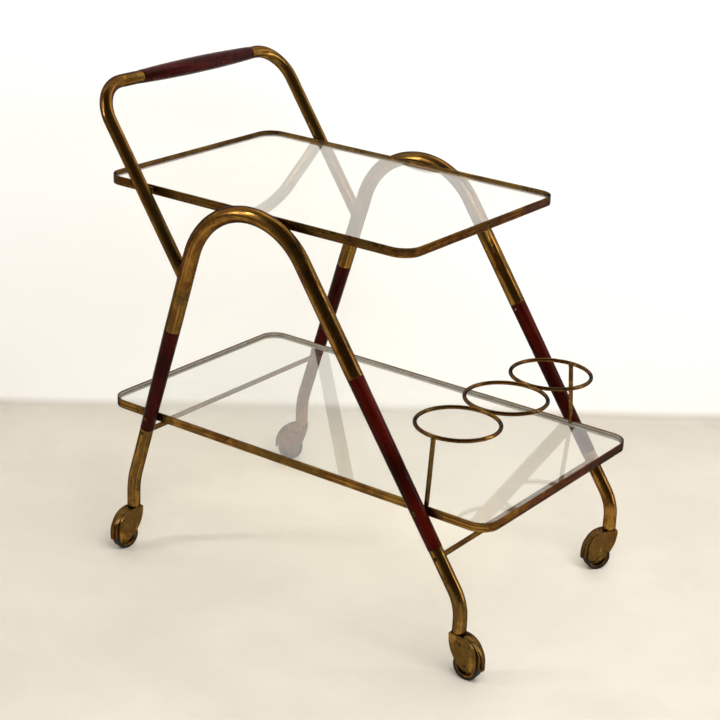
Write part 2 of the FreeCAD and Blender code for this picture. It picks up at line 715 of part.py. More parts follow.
def bottle_ring(side):
    # Three rings stand side by side, each filed flat where it meets its neighbour.
    label = "bottle_ring_" + side
    ring = outer_ring_torus(label, side)
    centre = ring.Placement.Base
    tools = []
    for neighbour in (-1, 1):
        if neighbour != {"right": -1, "middle": 0, "left": 1}[side]:
            edge = centre.y + neighbour * worth(RING_PITCH) / 2
            far = edge + neighbour * worth("ring_rod")
            low = V(centre.x - worth("ring_radius"), min(edge, far), centre.z - worth("ring_rod"))
            high = V(centre.x + worth("ring_radius"), max(edge, far), centre.z + worth("ring_rod"))
            tools.append(solid_block("%s_flat_%d" % (label, neighbour + 1), low, high))
    keep(cut(label, ring, tools))


def ring_post(side):
    # A rod from the lower tray's band up to the outer side of the outer ring, leaning outward.
    label = "ring_post_" + side
    out = "+" if SIDES[side] > 0 else "-"
    inner_face = "(centre_y %s (%s - band_wall))" % (out, LOWER_HALF)
    foot_y = "(%s %s (post_seat - post_od / 2))" % (inner_face, out)
    top_y = "(centre_y %s (%s + ring_radius))" % (out, RING_PITCH)
    foot = spot("post_foot_x", foot_y, LOWER_GLASS_TOP + " + post_lift")
    top = spot("ring_x", top_y, "ring_z - ring_rod / 2 + post_lap")
    post = rod(label, foot, top, "post_od")
    low = spot("post_foot_x - post_od", inner_face, LOWER_GLASS_TOP)
    high = low + V(2 * worth("post_od"), SIDES[side] * worth("post_od"), worth("post_od * 2"))
    corner = V(low.x, min(low.y, high.y), low.z - worth("post_od"))
    flat = solid_block(label + "_flat", corner, V(high.x, max(low.y, high.y), high.z))
    level = solid_block(label + "_level", foot - V(1, 1, 1) * worth("post_od"),
                        foot + V(1, 1, 0) * worth("post_od"))
    keep(cut(label, post, [flat, level, outer_ring_torus(label + "_cope", side)]))


# ---------------------------------------------------------------- casters
def stem_socket(end, side):
    # A sleeve pressed into the foot tube, with a rim that closes the gap below the tube's end.
    outer = "(foot_od / 2 - foot_wall - press_gap)"
    bore = "(stem_od / 2 + running_gap)"
    socket = turned("socket_%s_%s" % (end, side), [
        (bore, "-socket_rim"),
        ("socket_rim_od / 2", "-socket_rim"),
        ("socket_rim_od / 2", "0"),
        (outer, "0"),
        (outer, "socket_depth"),
        (bore, "socket_depth"),
    ])
    socket.Placement.Base = spot(swivel_x(end), side_line(side), "foot_end")
    keep(socket)


def caster_frame(end, side):
    # The caster's own frame: its X trails behind the swivel, its Z is the swivel's axis.
    heading = FreeCAD.Rotation(UP, worth("%s_%s_heading" % (end, side)))
    return FreeCAD.Placement(spot(swivel_x(end), side_line(side), "0"), heading)


def caster_hood(end, side):
    # A cast hood: two cheeks carry the axle, and a rib with a crest on it runs over the wheel.
    label = "hood_%s_%s" % (end, side)
    body = new_body(label)
    cheeks = sketch_on(body, "XZ_Plane", label + "_cheeks")
    cheek_back = "(hood_shoulder + cheek_radius)"
    outline(cheeks, [
        ("-hood_nose", "hood_top"),
        ("toe_x", "toe_low"),
        ("heel_x", "heel_low"),
        (cheek_back, "heel_low + heel_rise"),
        (cheek_back, "hood_top - cheek_radius"),
        ("hood_shoulder", "hood_top"),
    ], {0: "hood_front_radius", 2: "heel_radius", 4: "cheek_radius"})
    extrude(body, "Pad", cheeks, HOOD_WIDTH, middle=True)
    for name in ("rib", "crest"):
        back = "(hood_shoulder + %s_radius)" % name
        rib = sketch_on(body, "XZ_Plane", "%s_%s" % (label, name))
        outline(rib, [
            ("trail", name + "_low"),
            (back, name + "_low"),
            (back, "hood_top - %s_radius" % name),
            ("hood_shoulder", "hood_top"),
        ], {2: name + "_radius"})
        extrude(body, "Pad", rib, name + "_width", middle=True)
    well = sketch_on(body, "XZ_Plane", label + "_well")
    circle(well, "trail", "wheel_od / 2", "wheel_od + 2 * wheel_gap")
    extrude(body, "Pocket", well, FORK_WIDTH, middle=True)
    eye = sketch_on(body, "XZ_Plane", label + "_eye")
    circle(eye, "trail", "wheel_od / 2", "axle_od + 2 * press_gap")
    extrude(body, "Pocket", eye, HOOD_WIDTH + " + 2 * cheek_wall", middle=True)
    root = sketch_on(body, "XY_Plane", label + "_root", "hood_top - stem_root")
    circle(root, "0", "0", "stem_root_od + 2 * press_gap")
    extrude(body, "Pocket", root, "stem_root + cheek_wall", reverse=True)
    body.Placement = caster_frame(end, side)
    keep(body)


def caster_stem(end, side):
    rim_low = "(foot_end - socket_rim)"
    top = "(%s + stem_height)" % rim_low
    stem = turned("stem_%s_%s" % (end, side), [
        ("0", "hood_top - stem_root + stem_rest"),
        ("stem_root_od / 2", "hood_top - stem_root + stem_rest"),
        ("stem_root_od / 2", "hood_top"),
        ("collar_od / 2", "hood_top"),
        ("collar_od / 2", rim_low + " - collar_gap"),
        ("stem_od / 2", rim_low + " - collar_gap"),
        ("stem_od / 2", top + " - stem_tip"),
        ("stem_od / 2 - stem_tip", top),
        ("0", top),
    ])
    stem.Placement = caster_frame(end, side)
    keep(stem)


def on_axle(item, end, side):
    # Turns a piece's own Z axis along the axle, with its middle on the middle of the caster.
    axle_place = FreeCAD.Placement(spot("trail", "0", "wheel_od / 2"), FreeCAD.Rotation(UP, V(0, 1, 0)))
    item.Placement = caster_frame(end, side) * axle_place
    keep(item)


def caster_axle(end, side):
    half = "(%s / 2)" % HOOD_WIDTH
    crown = cap_radius("axle_head_od", "(axle_head - axle_brim)")
    on_axle(turned("axle_%s_%s" % (end, side), [
        ("0", "-%s - axle_head" % half),
        ("axle_head_od / 2", "-%s - axle_brim" % half),
        ("axle_head_od / 2", "-" + half),
        ("axle_od / 2", "-" + half),
        ("axle_od / 2", half),
        ("axle_head_od / 2", half),
        ("axle_head_od / 2", half + " + axle_brim"),
        ("0", half + " + axle_head"),
    ], {0: crown, 6: crown}), end, side)


def caster_wheel(end, side):
    bore = "(axle_od / 2 + running_gap)"
    on_axle(turned("wheel_%s_%s" % (end, side), [
        (bore, "-hub_width / 2"),
        ("hub_od / 2", "-hub_width / 2"),
        ("hub_od / 2", "-web_width / 2"),
        ("rim_od / 2 - rim_wall", "-web_width / 2"),
        ("rim_od / 2 - rim_wall", "-rim_width / 2"),
        ("rim_od / 2", "-rim_width / 2"),
        ("rim_od / 2", "rim_width / 2"),
        ("rim_od / 2 - rim_wall", "rim_width / 2"),
        ("rim_od / 2 - rim_wall", "web_width / 2"),
        ("hub_od / 2", "web_width / 2"),
        ("hub_od / 2", "hub_width / 2"),
        (bore, "hub_width / 2"),
    ]), end, side)


def caster_tyre(end, side):
    inner = "(rim_od / 2 + press_gap)"
    on_axle(turned("tyre_%s_%s" % (end, side), [
        (inner, "-tyre_width / 2"),
        ("wheel_od / 2 - tyre_round", "-tyre_width / 2"),
        ("wheel_od / 2", "tyre_round - tyre_width / 2"),
        ("wheel_od / 2", "tyre_width / 2 - tyre_round"),
        ("wheel_od / 2 - tyre_round", "tyre_width / 2"),
        (inner, "tyre_width / 2"),
    ], {1: "tyre_round", 3: "tyre_round"}), end, side)


# ---------------------------------------------------------------- the whole trolley
for side in SIDES:
    arch_tube(side)
    handle_arm(side)
handle_grip()

tray_frame("upper_tray_frame", "upper_rear_x", "upper_length", UPPER_HALF, "upper_rim", [
    through_band("upper_hole_" + end, stud_x(end), UPPER_HALF, UPPER_MID, "shank_od + 2 * screw_gap")
    for end in ENDS
])
glass_sheet("upper_glass", "upper_rear_x", "upper_length", UPPER_HALF, "upper_rim")
tray_frame("lower_tray_frame", "lower_rear_x", "lower_length", LOWER_HALF, "lower_rim", [
    through_band("lower_hole_" + end, leg_line(end, LOWER_MID), LOWER_HALF, LOWER_MID, HOLE)
    for end in ENDS
])
glass_sheet("lower_glass", "lower_rear_x", "lower_length", LOWER_HALF, "lower_rim")

for side in ("right", "middle", "left"):
    bottle_ring(side)
for side in SIDES:
    ring_post(side)

for end in ENDS:
    crossbar(end)
    for side in SIDES:
        leg_wood(end, side)
        foot_tube(end, side)
        tray_stud(end, side)
        out = "+" if SIDES[side] > 0 else "-"
        tip = "(centre_y %s (%s - band_wall))" % (out, LOWER_HALF)
        x = leg_line(end, LOWER_MID)
        dome_screw("tray_screw_%s_%s" % (end, side), x, LOWER_MID, tray_seat(end, side), tip, side)
        stem_socket(end, side)
        caster_hood(end, side)
        caster_stem(end, side)
        caster_axle(end, side)
        caster_wheel(end, side)
        caster_tyre(end, side)

# ---------------------------------------------------------------- checks and files
doc.recompute()
for item in doc.Objects:
    if {"Invalid", "Error"} & set(item.State):
        raise RuntimeError("%s failed: %s" % (item.Label, item.State))
    if item.isDerivedFrom("Sketcher::SketchObject") and item.solve() != 0:
        raise RuntimeError("%s doesn't solve" % item.Label)
    if item.TypeId == "PartDesign::Pocket":
        if item.Shape.Volume > item.BaseFeature.Shape.Volume - 1:
            raise RuntimeError("%s cuts nothing" % item.Label)
    if item.TypeId == "Part::Cut":
        smaller = item.Shape.Volume < item.Base.Shape.Volume - 1
        if not smaller and len(item.Shape.Faces) <= len(item.Base.Shape.Faces):
            raise RuntimeError("%s cuts nothing" % item.Label)
for pipe, spine, diameter, wall in pipes:
    expected = math.pi * wall * (diameter - wall) * spine.Shape.Length
    if abs(pipe.Shape.Volume / expected - 1) > 0.001:
        raise RuntimeError("%s has %.0f for %.0f mm3" % (pipe.Label, pipe.Shape.Volume, expected))

os.makedirs("parts", exist_ok=True)
for node in nodes:
    shape = node.Shape
    if shape.isNull() or not shape.isValid() or len(shape.Solids) != 1:
        raise RuntimeError("%s isn't one valid solid" % node.Label)
    shape.exportStep(os.path.join("parts", node.Label + ".step"))
print("%d pieces" % len(nodes))
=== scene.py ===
import math

import bpy
import numpy as np
from mathutils import Matrix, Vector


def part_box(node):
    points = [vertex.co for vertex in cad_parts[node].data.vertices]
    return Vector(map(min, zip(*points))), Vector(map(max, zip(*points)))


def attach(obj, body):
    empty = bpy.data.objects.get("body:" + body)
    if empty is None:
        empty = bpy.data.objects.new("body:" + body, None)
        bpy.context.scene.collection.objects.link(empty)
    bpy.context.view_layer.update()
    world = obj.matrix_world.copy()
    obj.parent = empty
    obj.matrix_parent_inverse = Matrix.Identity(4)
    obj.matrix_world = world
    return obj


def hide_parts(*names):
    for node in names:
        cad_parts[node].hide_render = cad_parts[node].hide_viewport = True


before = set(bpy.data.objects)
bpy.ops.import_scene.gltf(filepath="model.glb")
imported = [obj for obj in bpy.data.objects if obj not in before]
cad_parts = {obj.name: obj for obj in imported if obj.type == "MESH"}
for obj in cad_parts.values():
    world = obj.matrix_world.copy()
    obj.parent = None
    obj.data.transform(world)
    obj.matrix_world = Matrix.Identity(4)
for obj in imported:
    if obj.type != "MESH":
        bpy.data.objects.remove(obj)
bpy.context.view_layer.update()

bl_info = {
    "name": "Dessert trolley",
    "version": (1, 0, 0),
    "blender": (4, 5, 0),
    "location": "3D View > Sidebar > Trolley",
    "description": "Dresses the frame of a two-tier dessert trolley in aged brass, turned wood and glass",
    "category": "Object",
}

# Which way is outwards: along y for a side, along x for an end.
SIDES = {"right": -1, "left": 1}
ENDS = {"rear": -1, "front": 1}
SCREWS = [f"{use}_screw_{end}_{side}" for use in ("tray", "bar") for end in ENDS for side in SIDES]

UPWARD = np.array([0, 0, 1.0])
QUARTER = np.linspace(0, math.pi / 2, 5)

# Rows of a filed fillet, in shares of the braze: swell past the skin, depth in the main tube, climb.
FILLET = ((1.0, 0.25, 0.0), (0.72, 0.0, 0.06), (0.3, 0.0, 0.4), (0.06, 0.0, 0.8), (0.0, 0.0, 1.3))

# A ring post's foot: what the radius gains, and the height. The bead at its top: the share of the bead
# that the radius gains, and the height past the braze.
POST_FOOT = ((-0.0006, 0.0), (-0.0002, 0.0001), (0.0, 0.0006), (0.0, 0.03))
POST_BEAD = ((0.0, -0.006), (0.15, -0.0035), (0.7, -0.002), (1.0, -0.0008), (0.5, 0.0006), (-1.0, 0.0016))

# How each brass piece has aged; every piece also gets a painted shade at the edges that turn away from the
# camera. lining is where the band's inner face starts and stops on its map, and a pale grey painted
# reflection of the glass's veil covers it there.
BRASS = {
    "tube_brass": dict(toned=0.62, brown=0.42),
    "ring_brass": dict(toned=0.88, brown=0.72, rough=(0.14, 0.3)),
    "bar_brass": dict(toned=0.72, brown=0.5),
    "upper_band_brass": dict(toned=0.9, brown=0.7, rough=(0.2, 0.4)),
    "lower_band_brass": dict(toned=0.7, brown=0.5, rough=(0.2, 0.4), painted_veil_lining=(0.0155, 0.036)),
    "cast_brass": dict(toned=0.95, brown=0.5, run=False, grime=0.2),
    "stud_brass": dict(toned=0.6, brown=0.4, run=False),
    "screw_brass": dict(toned=0.85, brown=0.8, run=False, rough=(0.3, 0.5)),
    "socket_brass": dict(toned=0.8, brown=0.7, run=False, rough=(0.3, 0.5)),
    "wheel_brass": dict(toned=0.9, brown=0.75, run=False, rough=(0.25, 0.45), grime=0.2),
    "rivet": dict(toned=0.9, brown=0.85, run=False, rough=(0.2, 0.4)),
}

# The CAD nodes that stay in view, with the material slot of each.
FITTINGS = {"socket": "socket_brass", "stem": "steel", "axle": "steel", "wheel": "wheel_brass",
            "tyre": "rubber", "hood": "cast_brass", "tray_stud": "stud_brass"}


def box_corners(node):
    return tuple(np.array(corner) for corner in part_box(node))


def box_middle(node):
    low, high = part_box(node)
    return np.array((low + high) / 2)


def box_span(node, axis):
    low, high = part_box(node)
    return high[axis] - low[axis]


# The plane that each side's tubes lie in, and where along the trolley each end's casters swivel.
PLANE = {side: box_middle("arch_tube_" + side)[1] for side in SIDES}
SWIVEL = {end: box_middle(f"socket_{end}_right")[0] for end in ENDS}


# ---- sizes and colours
def amount(name, default, description, unit="LENGTH", least=0.0):
    return bpy.props.FloatProperty(name=name, description=description, default=default, min=least,
                                   precision=4, unit=unit)


def angle(name, degrees, description):
    return bpy.props.FloatProperty(name=name, description=description, default=math.radians(degrees),
                                   unit="ROTATION")


def colour(name, default, description):
    return bpy.props.FloatVectorProperty(name=name, description=description, default=default, size=3,
                                         min=0.0, max=1.0, subtype="COLOR")


class TrolleySizes(bpy.types.PropertyGroup):
    """Sizes of the pieces that are built over the frame"""
    tube_od: amount("Arch tube", box_span("arch_tube_right", 1), "Outside diameter of the arches")
    arch_x: amount("Arch top", -0.061, "Where along the trolley the arches are highest", least=-1.0)
    arch_radius: amount("Arch bend", 0.1157, "Radius over the top, on the centre line")
    rear_lean: angle("Rear lean", 16.28, "Lean of the rear legs from upright")
    front_lean: angle("Front lean", 34.64, "Lean of the front legs from upright")
    rear_wood_top: amount("Rear wood top", 0.3875, "Height of its upper shoulder")
    rear_wood_base: amount("Rear wood base", 0.2105, "Height of its lower shoulder")
    front_wood_top: amount("Front wood top", 0.4015, "Height of its upper shoulder")
    front_wood_base: amount("Front wood base", 0.183, "Height of its lower shoulder")
    wood_top_od: amount("Wood at top", 0.025, "Turned leg at its upper shoulder")
    wood_base_od: amount("Wood at base", 0.022, "Turned leg at its lower shoulder")
    wood_edge: amount("Wood edge", 0.0008, "Eased edge at the wood's shoulders")
    foot_od: amount("Foot tube", 0.021, "Outside diameter of the foot tubes")
    rear_bend: amount("Rear foot bend", 0.14, "Radius on the centre line")
    front_bend: amount("Front foot bend", 0.075, "Radius on the centre line")
    tube_edge: amount("Tube edge", 0.0005, "Eased edge at a tube's end")
    handle_od: amount("Handle tube", 0.02, "Outside diameter of the handle tube")
    handle_lean: angle("Handle lean", 35.0, "Lean of the handle's arms from upright")
    handle_root: amount("Handle root", 0.474, "Height where an arm meets its rear leg")
    handle_bend: amount("Handle bend", 0.058, "Radius on the centre line")
    grip_end_od: amount("Grip at ends", 0.021, "Diameter of the grip at its ends")
    grip_mid_od: amount("Grip at middle", box_span("handle_grip", 0), "Diameter of the grip at its fattest")
    tray_corner: amount("Tray corner", 0.03, "Outer corner radius of both trays")
    band_wall: amount("Band", 0.002, "Thickness of the band round a tray")
    ledge_width: amount("Ledge", 0.004, "Width of the ledge that carries the glass")
    ledge_depth: amount("Ledge depth", 0.0015, "Thickness of that ledge")
    glass_depth: amount("Glass", 0.005, "Thickness of the glass")
    glass_drop: amount("Glass drop", 0.004, "Height of the rim above the glass")
    ring_rod: amount("Ring rod", box_span("bottle_ring_right", 2), "Rod of the bottle rings")
    post_od: amount("Ring post", 0.007, "Posts of the bottle rings")
    bar_od: amount("Cross bar", 0.008, "Rods between the feet")
    braze: amount("Braze", 0.0014, "Reach of the filed braze round a joint")
    screw_od: amount("Screw", 0.004, "Shank of the screws")
    screw_head: amount("Screw head", 0.0019, "Height of a screw's domed head")
    screw_brim: amount("Screw brim", 0.0004, "Straight edge of that head")
    screw_slot: amount("Screw slot", 0.0009, "Width of the slot; it is as deep")


class TrolleyFinish(bpy.types.PropertyGroup):
    """Colours of the trolley's metals, wood, glass and rubber"""
    brass_bright: colour("Worn brass", (0.41, 0.208, 0.038), "Brass where hands have kept it bright")
    brass_aged: colour("Aged brass", (0.148, 0.060, 0.008), "Brass where it has toned")
    brass_olive: colour("Olive brass", (0.150, 0.084, 0.017), "Brass where it has toned greenish")
    # This brown is also the painted shade at the edges that turn away from the camera.
    brass_brown_and_shade: colour("Brown brass", (0.024, 0.010, 0.0035), "Brass under its darkest patina")
    wood_deep: colour("Wood, deep", (0.010, 0.0010, 0.0005), "Darkest grain of the legs and grip")
    wood_warm: colour("Wood, warm", (0.050, 0.0032, 0.0012), "Lightest grain of the legs and grip")
    wood_bare: colour("Wood, bare", (0.52, 0.33, 0.21), "Small chips through the varnish")
    # The band lining is a painted reflection: the pale grey veil that the glass lays over the lower band's
    # inner face.
    painted_veil_lining: colour("Band lining", (0.30, 0.29, 0.255), "Dulled inner face of the bands round the glass")
    glass_tint: colour("Glass", (0.89, 0.895, 0.865), "Tint of the glass")
    steel: colour("Steel", (0.42, 0.40, 0.37), "Steel of the caster stems")
    rubber: colour("Rubber", (0.012, 0.011, 0.010), "Tyres of the casters")


class TrolleyStudio(bpy.types.PropertyGroup):
    """Floor, backdrop, lights and camera"""
    floor: colour("Floor", (0.535, 0.495, 0.430), "Pale floor")
    backdrop: colour("Backdrop", (0.93, 0.925, 0.91), "Pale backdrop")
    backdrop_turn: angle("Backdrop turn", 38.74, "Direction in which the backdrop runs")
    backdrop_far: amount("Backdrop", 0.571, "Distance from the trolley's middle to the backdrop")
    key_power: amount("Key light", 92.0, "Large soft light above the front, not mirrored", "POWER")
    panel_power: amount("Panel light", 10.0, "Upright soft panel beyond the front end", "POWER")
    strip_power: amount("Strip light", 15.0, "Narrow light that draws a thin line on the tubes", "POWER")
    camera_at: bpy.props.FloatVectorProperty(name="Camera", description="Place of the camera", size=3,
                                             default=(1.5216, -2.1413, 1.3468), subtype="TRANSLATION",
                                             unit="LENGTH")
    yaw: angle("Yaw", 35.43, "Camera's turn to the left of straight ahead")
    pitch: angle("Pitch", 21.06, "Camera's tilt below the horizon")
    roll: angle("Roll", 2.56, "Camera's turn about its own line of sight")
    lens: amount("Lens", 90.7, "Focal length on a 36 mm frame", "CAMERA", 1.0)


# ---- surfaces
def unit(vectors):
    """Each vector divided by its own length."""
    return vectors / np.linalg.norm(vectors, axis=-1, keepdims=True)


def spokes(first, second, count):
    """Directions round a circle: the first times the cosine of each turn, plus the second times its sine."""
    turns = np.linspace(0, 2 * math.pi, count, endpoint=False)[:, None]
    return first * np.cos(turns) + second * np.sin(turns)


def walked(points):
    """Distance to each point of a closed loop and back to its first: the steps' lengths added up."""
    steps = np.linalg.norm(np.diff(points, axis=0, append=points[:1]), axis=1)
    return np.concatenate([[0], np.cumsum(steps)])


def bent_line(before, corner, after, radius, step=0.003):
    """Centre line with one bend, and the axis of that bend. The straights stop at the radius times the
    tangent of half the turn from the corner, and between them the bend's spoke turns about its axis."""
    inward, onward = unit(corner - before), unit(after - corner)
    turn = math.acos(float(inward @ onward))
    axis = unit(np.cross(inward, onward))
    touch = corner - inward * radius * math.tan(turn / 2)
    middle = touch + np.cross(axis, inward) * radius
    turns = np.linspace(0, turn, max(int(radius * turn / step), 10))[:, None]
    spoke = touch - middle
    bend = middle + spoke * np.cos(turns) + np.cross(axis, spoke) * np.sin(turns)
    share = np.linspace(0, 1, 12)[:, None]
    first = before + (bend[0] - before) * share[:-1]
    last = bend[-1] + (after - bend[-1]) * share[1:]
    return np.concatenate([first, bend, last]), axis


def eased_end(line, radii, edge):
    """Line whose first end is rounded: over a quarter turn the radius grows by the edge times the sine, and
    the station moves on by the edge times one minus the cosine."""
    onward = unit(line[1] - line[0])
    stations = line[0] + onward * edge * (1 - np.cos(QUARTER[:, None]))
    grown = radii[0] - edge + edge * np.sin(QUARTER)
    return np.concatenate([stations, line[1:]]), np.concatenate([grown, radii[1:]])


def eased_profile(heights, radii, edge):
    """Turned profile with rounded ends: over a quarter turn the first radius grows by the edge times the
    sine and the height by one minus the cosine, and the last end closes in the same way."""
    low = np.stack([radii[0] - edge + edge * np.sin(QUARTER), heights[0] - edge * np.cos(QUARTER)], -1)
    high = np.stack([radii[-1] - edge + edge * np.cos(QUARTER), heights[-1] + edge * np.sin(QUARTER)], -1)
    return np.concatenate([low[:-1], np.stack([radii, heights], -1), high[1:]])


def tube_rows(line, binormal, radius, edges, sides=36):
    """Skin of a tube: each point is the line's, plus the radius times a spoke between the side vector and
    the binormal. edges round its first and last end."""
    radii = np.full(len(line), radius)
    if edges[0]:
        line, radii = eased_end(line, radii, edges[0])
    if edges[1]:
        line, radii = eased_end(line[::-1], radii[::-1], edges[1])
        line, radii = line[::-1], radii[::-1]
    tangent = unit(np.gradient(line, axis=0))
    side = np.cross(tangent, binormal)
    return line[:, None] + spokes(side[:, None], binormal, sides) * radii[:, None, None]


def saddle_rows(point, onward, binormal, radius, run, main_radius, braze, sides=36):
    """Where a tube stands on another: rows from a filed fillet on the main tube up to the tube's own skin.
    Each point is the far root of the quadratic that puts it at the main tube's radius from its axis."""
    around = spokes(np.cross(onward, binormal), binormal, sides)
    climb = onward - (onward @ run) * run
    rows = []
    for swell, sunk, lift in FILLET:
        start = around * (radius + swell * braze)
        flat = start - (start @ run)[:, None] * run
        half = flat @ climb
        reach = main_radius - sunk * braze
        root = np.sqrt(half ** 2 - (climb @ climb) * ((flat ** 2).sum(1) - reach ** 2))
        along = (root - half) / (climb @ climb)
        rows.append(point + start + onward * (along + lift * braze)[:, None])
    return np.array(rows)


def turned_rows(profile, foot, axis, sides=48):
    """Turned surface: the foot, plus each profile point's height along the axis, plus its radius times a
    spoke square to the axis."""
    axis = unit(np.array(axis, float))
    other = np.array([0.0, 1.0, 0.0]) if abs(axis[1]) < 0.9 else np.array([1.0, 0.0, 0.0])
    first = unit(np.cross(axis, other))
    radii, heights = np.array(profile, float).T
    around = spokes(first, np.cross(axis, first), sides)
    return np.array(foot) + heights[:, None, None] * axis + radii[:, None, None] * around


def softened(corners, radius, steps=4):
    """Closed outline with its corners rounded: at each one a quadratic curve runs from a radius before the
    corner to a radius after it, with the corner as its control point."""
    corners = np.array(corners, float)
    start = corners + unit(np.roll(corners, 1, 0) - corners) * radius
    stop = corners + unit(np.roll(corners, -1, 0) - corners) * radius
    t = np.linspace(0, 1, steps)[None, :, None]
    curve = start[:, None] * (1 - t) ** 2 + 2 * t * (1 - t) * corners[:, None] + stop[:, None] * t ** 2
    return curve.reshape(-1, 2)


def slotted_head(radius, sizes, sides=22):
    """A screw's head as loops square to its slot: at station p and place q on the loop, the dome's height is
    the brim plus the rest of the head times one minus (p² + q²) / radius², less the slot inside it."""
    half_slot, lean, seam, least = sizes.screw_slot / 2, 0.00003, 0.00001, sizes.screw_brim * 0.6
    rim_turn, wall_turn = 0.12, 1.33
    flank = -radius * np.cos(np.linspace(rim_turn, wall_turn, 10))
    wall = np.array([-half_slot - lean, -half_slot])
    p = np.concatenate([flank, wall, -wall[::-1], -flank[::-1]])[:, None]
    q = np.sqrt(radius ** 2 - p ** 2) * np.sin(np.linspace(-math.pi / 2, math.pi / 2, sides))
    rise = sizes.screw_head - sizes.screw_brim
    dome = sizes.screw_brim + rise * (1 - (p ** 2 + q ** 2) / radius ** 2)
    cut = np.where(abs(p) < half_slot + seam, sizes.screw_slot, 0)
    top = np.stack([p + 0 * q, q, np.maximum(dome - cut, least)], -1)
    return np.concatenate([top, top[:, ::-1] * [1, 1, 0]], 1)


def rounded_plan(low, high, radius, steps=16):
    """Rounded rectangle in plan: four quarter circles joined by straights, as each point's corner centre and
    outward direction. A parallel curve is the centre plus (radius + offset) times that direction."""
    (left, near), (right, far) = low[:2] + radius, high[:2] - radius
    centres = np.array([(right, far), (left, far), (left, near), (right, near)])
    turns = np.linspace(0, math.pi / 2, steps)[None, :] + (np.arange(4) * math.pi / 2)[:, None]
    outward = np.stack([np.cos(turns), np.sin(turns)], -1).reshape(-1, 2)
    return np.repeat(centres, steps, 0), outward


def carried_rows(plan, radius, profile):
    """A profile of (offset, height) carried along a rounded plan: one row for each of the plan's points."""
    centres, outward = plan
    offsets, heights = np.array(profile, float).T
    flat = centres[:, None] + outward[:, None] * (radius + offsets)[None, :, None]
    return np.concatenate([flat, np.broadcast_to(heights[None, :, None], flat.shape[:2] + (1,))], -1)


def net(rows, ring=False):
    """Four-cornered faces over closed rows of points, with a fan over each open end; ring joins the last row
    to the first. Their map runs in metres: along the rows, and round the middle row. The sign of the volume
    that they hold, a sum of triple products, says whether they have to be turned to face outwards."""
    count, sides = rows.shape[:2]
    middles = rows.mean(1)
    along = walked(rows[:, 0] if ring else middles)
    across = walked(rows[count // 2])
    row = np.arange(count if ring else count - 1)[:, None]
    column = np.arange(sides)[None, :]
    row_after, column_after = (row + 1) % count, (column + 1) % sides
    corners = [(row, column), (row, column_after), (row_after, column_after), (row_after, column)]
    faces = np.stack([r * sides + c for r, c in corners], -1).reshape(-1, 4)
    spots = [(row, column), (row, column + 1), (row + 1, column + 1), (row + 1, column)]
    marks = np.stack([np.stack(np.broadcast_arrays(along[r], across[c]), -1) for r, c in spots], 2)
    points, marks = rows.reshape(-1, 3), marks.reshape(-1, 4, 2)
    fans, fan_marks = np.zeros((0, 3), int), np.zeros((0, 3, 2))
    if not ring:
        points = np.concatenate([points, middles[:1], middles[-1:]])
        here, there, base = column[0], column_after[0], (count - 1) * sides
        first = np.stack([there, here, np.full(sides, count * sides)], -1)
        last = np.stack([base + here, base + there, np.full(sides, count * sides + 1)], -1)
        fans = np.concatenate([first, last])
        rim = np.stack([across[1:], across[:-1], (across[1:] + across[:-1]) / 2], -1)
        start = np.stack([np.full_like(rim, along[0]), rim], -1)
        stop = np.stack([np.full_like(rim, along[count - 1]), rim[:, [1, 0, 2]]], -1)
        fan_marks = np.concatenate([start, stop])
    a, b, c, d = (points[faces[:, corner]] for corner in range(4))
    e, f, g = (points[fans[:, corner]] for corner in range(3))
    volume = (a * np.cross(b, c)).sum() + (a * np.cross(c, d)).sum() + (e * np.cross(f, g)).sum()
    if volume < 0:
        faces, marks = faces[:, ::-1], marks[:, ::-1]
        fans, fan_marks = fans[:, ::-1], fan_marks[:, ::-1]
    return points, faces, marks, fans, fan_marks


def make_piece(name, nets, nodes, slot_name, look=None, sharp=38.0, body="frame"):
    """One object from several nets, smooth but for the edges that turn by more than the sharp angle."""
    shifts = np.cumsum([0] + [len(each[0]) for each in nets])
    points = np.concatenate([each[0] for each in nets])
    faces = np.concatenate([each[1] + shift for each, shift in zip(nets, shifts)])
    fans = np.concatenate([each[3] + shift for each, shift in zip(nets, shifts)])
    marks = np.concatenate([each[part].reshape(-1, 2) for part in (2, 4) for each in nets])
    mesh = bpy.data.meshes.new(name)
    mesh.from_pydata(points.tolist(), [], faces.tolist() + fans.tolist())
    mesh.uv_layers.new(name="run").data.foreach_set("uv", marks.astype(np.float32).ravel())
    mesh.shade_smooth()
    mesh.set_sharp_from_angle(angle=math.radians(sharp))
    mesh.materials.append(finish(look or slot_name))
    piece = bpy.data.objects.new(name, mesh)
    bpy.context.scene.collection.objects.link(piece)
    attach(piece, body)
    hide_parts(*nodes)


def leg_point(sizes, end, height, side):
    """A point on a leg's centre line, which is tangent to the bend: it starts the radius times the lean's
    cosine out from the bend's middle, and moves out by the fall times the lean's tangent."""
    lean = getattr(sizes, end + "_lean")
    radius = sizes.arch_radius
    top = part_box("arch_tube_" + side)[1].z - sizes.tube_od / 2
    fall = top - radius + radius * math.sin(lean) - height
    x = sizes.arch_x + ENDS[end] * (radius * math.cos(lean) + fall * math.tan(lean))
    return np.array([x, PLANE[side], height])


def leg_up(sizes, end):
    """The direction up a leg, from the sine and cosine of its lean."""
    lean = getattr(sizes, end + "_lean")
    return np.array([-ENDS[end] * math.sin(lean), 0, math.cos(lean)])


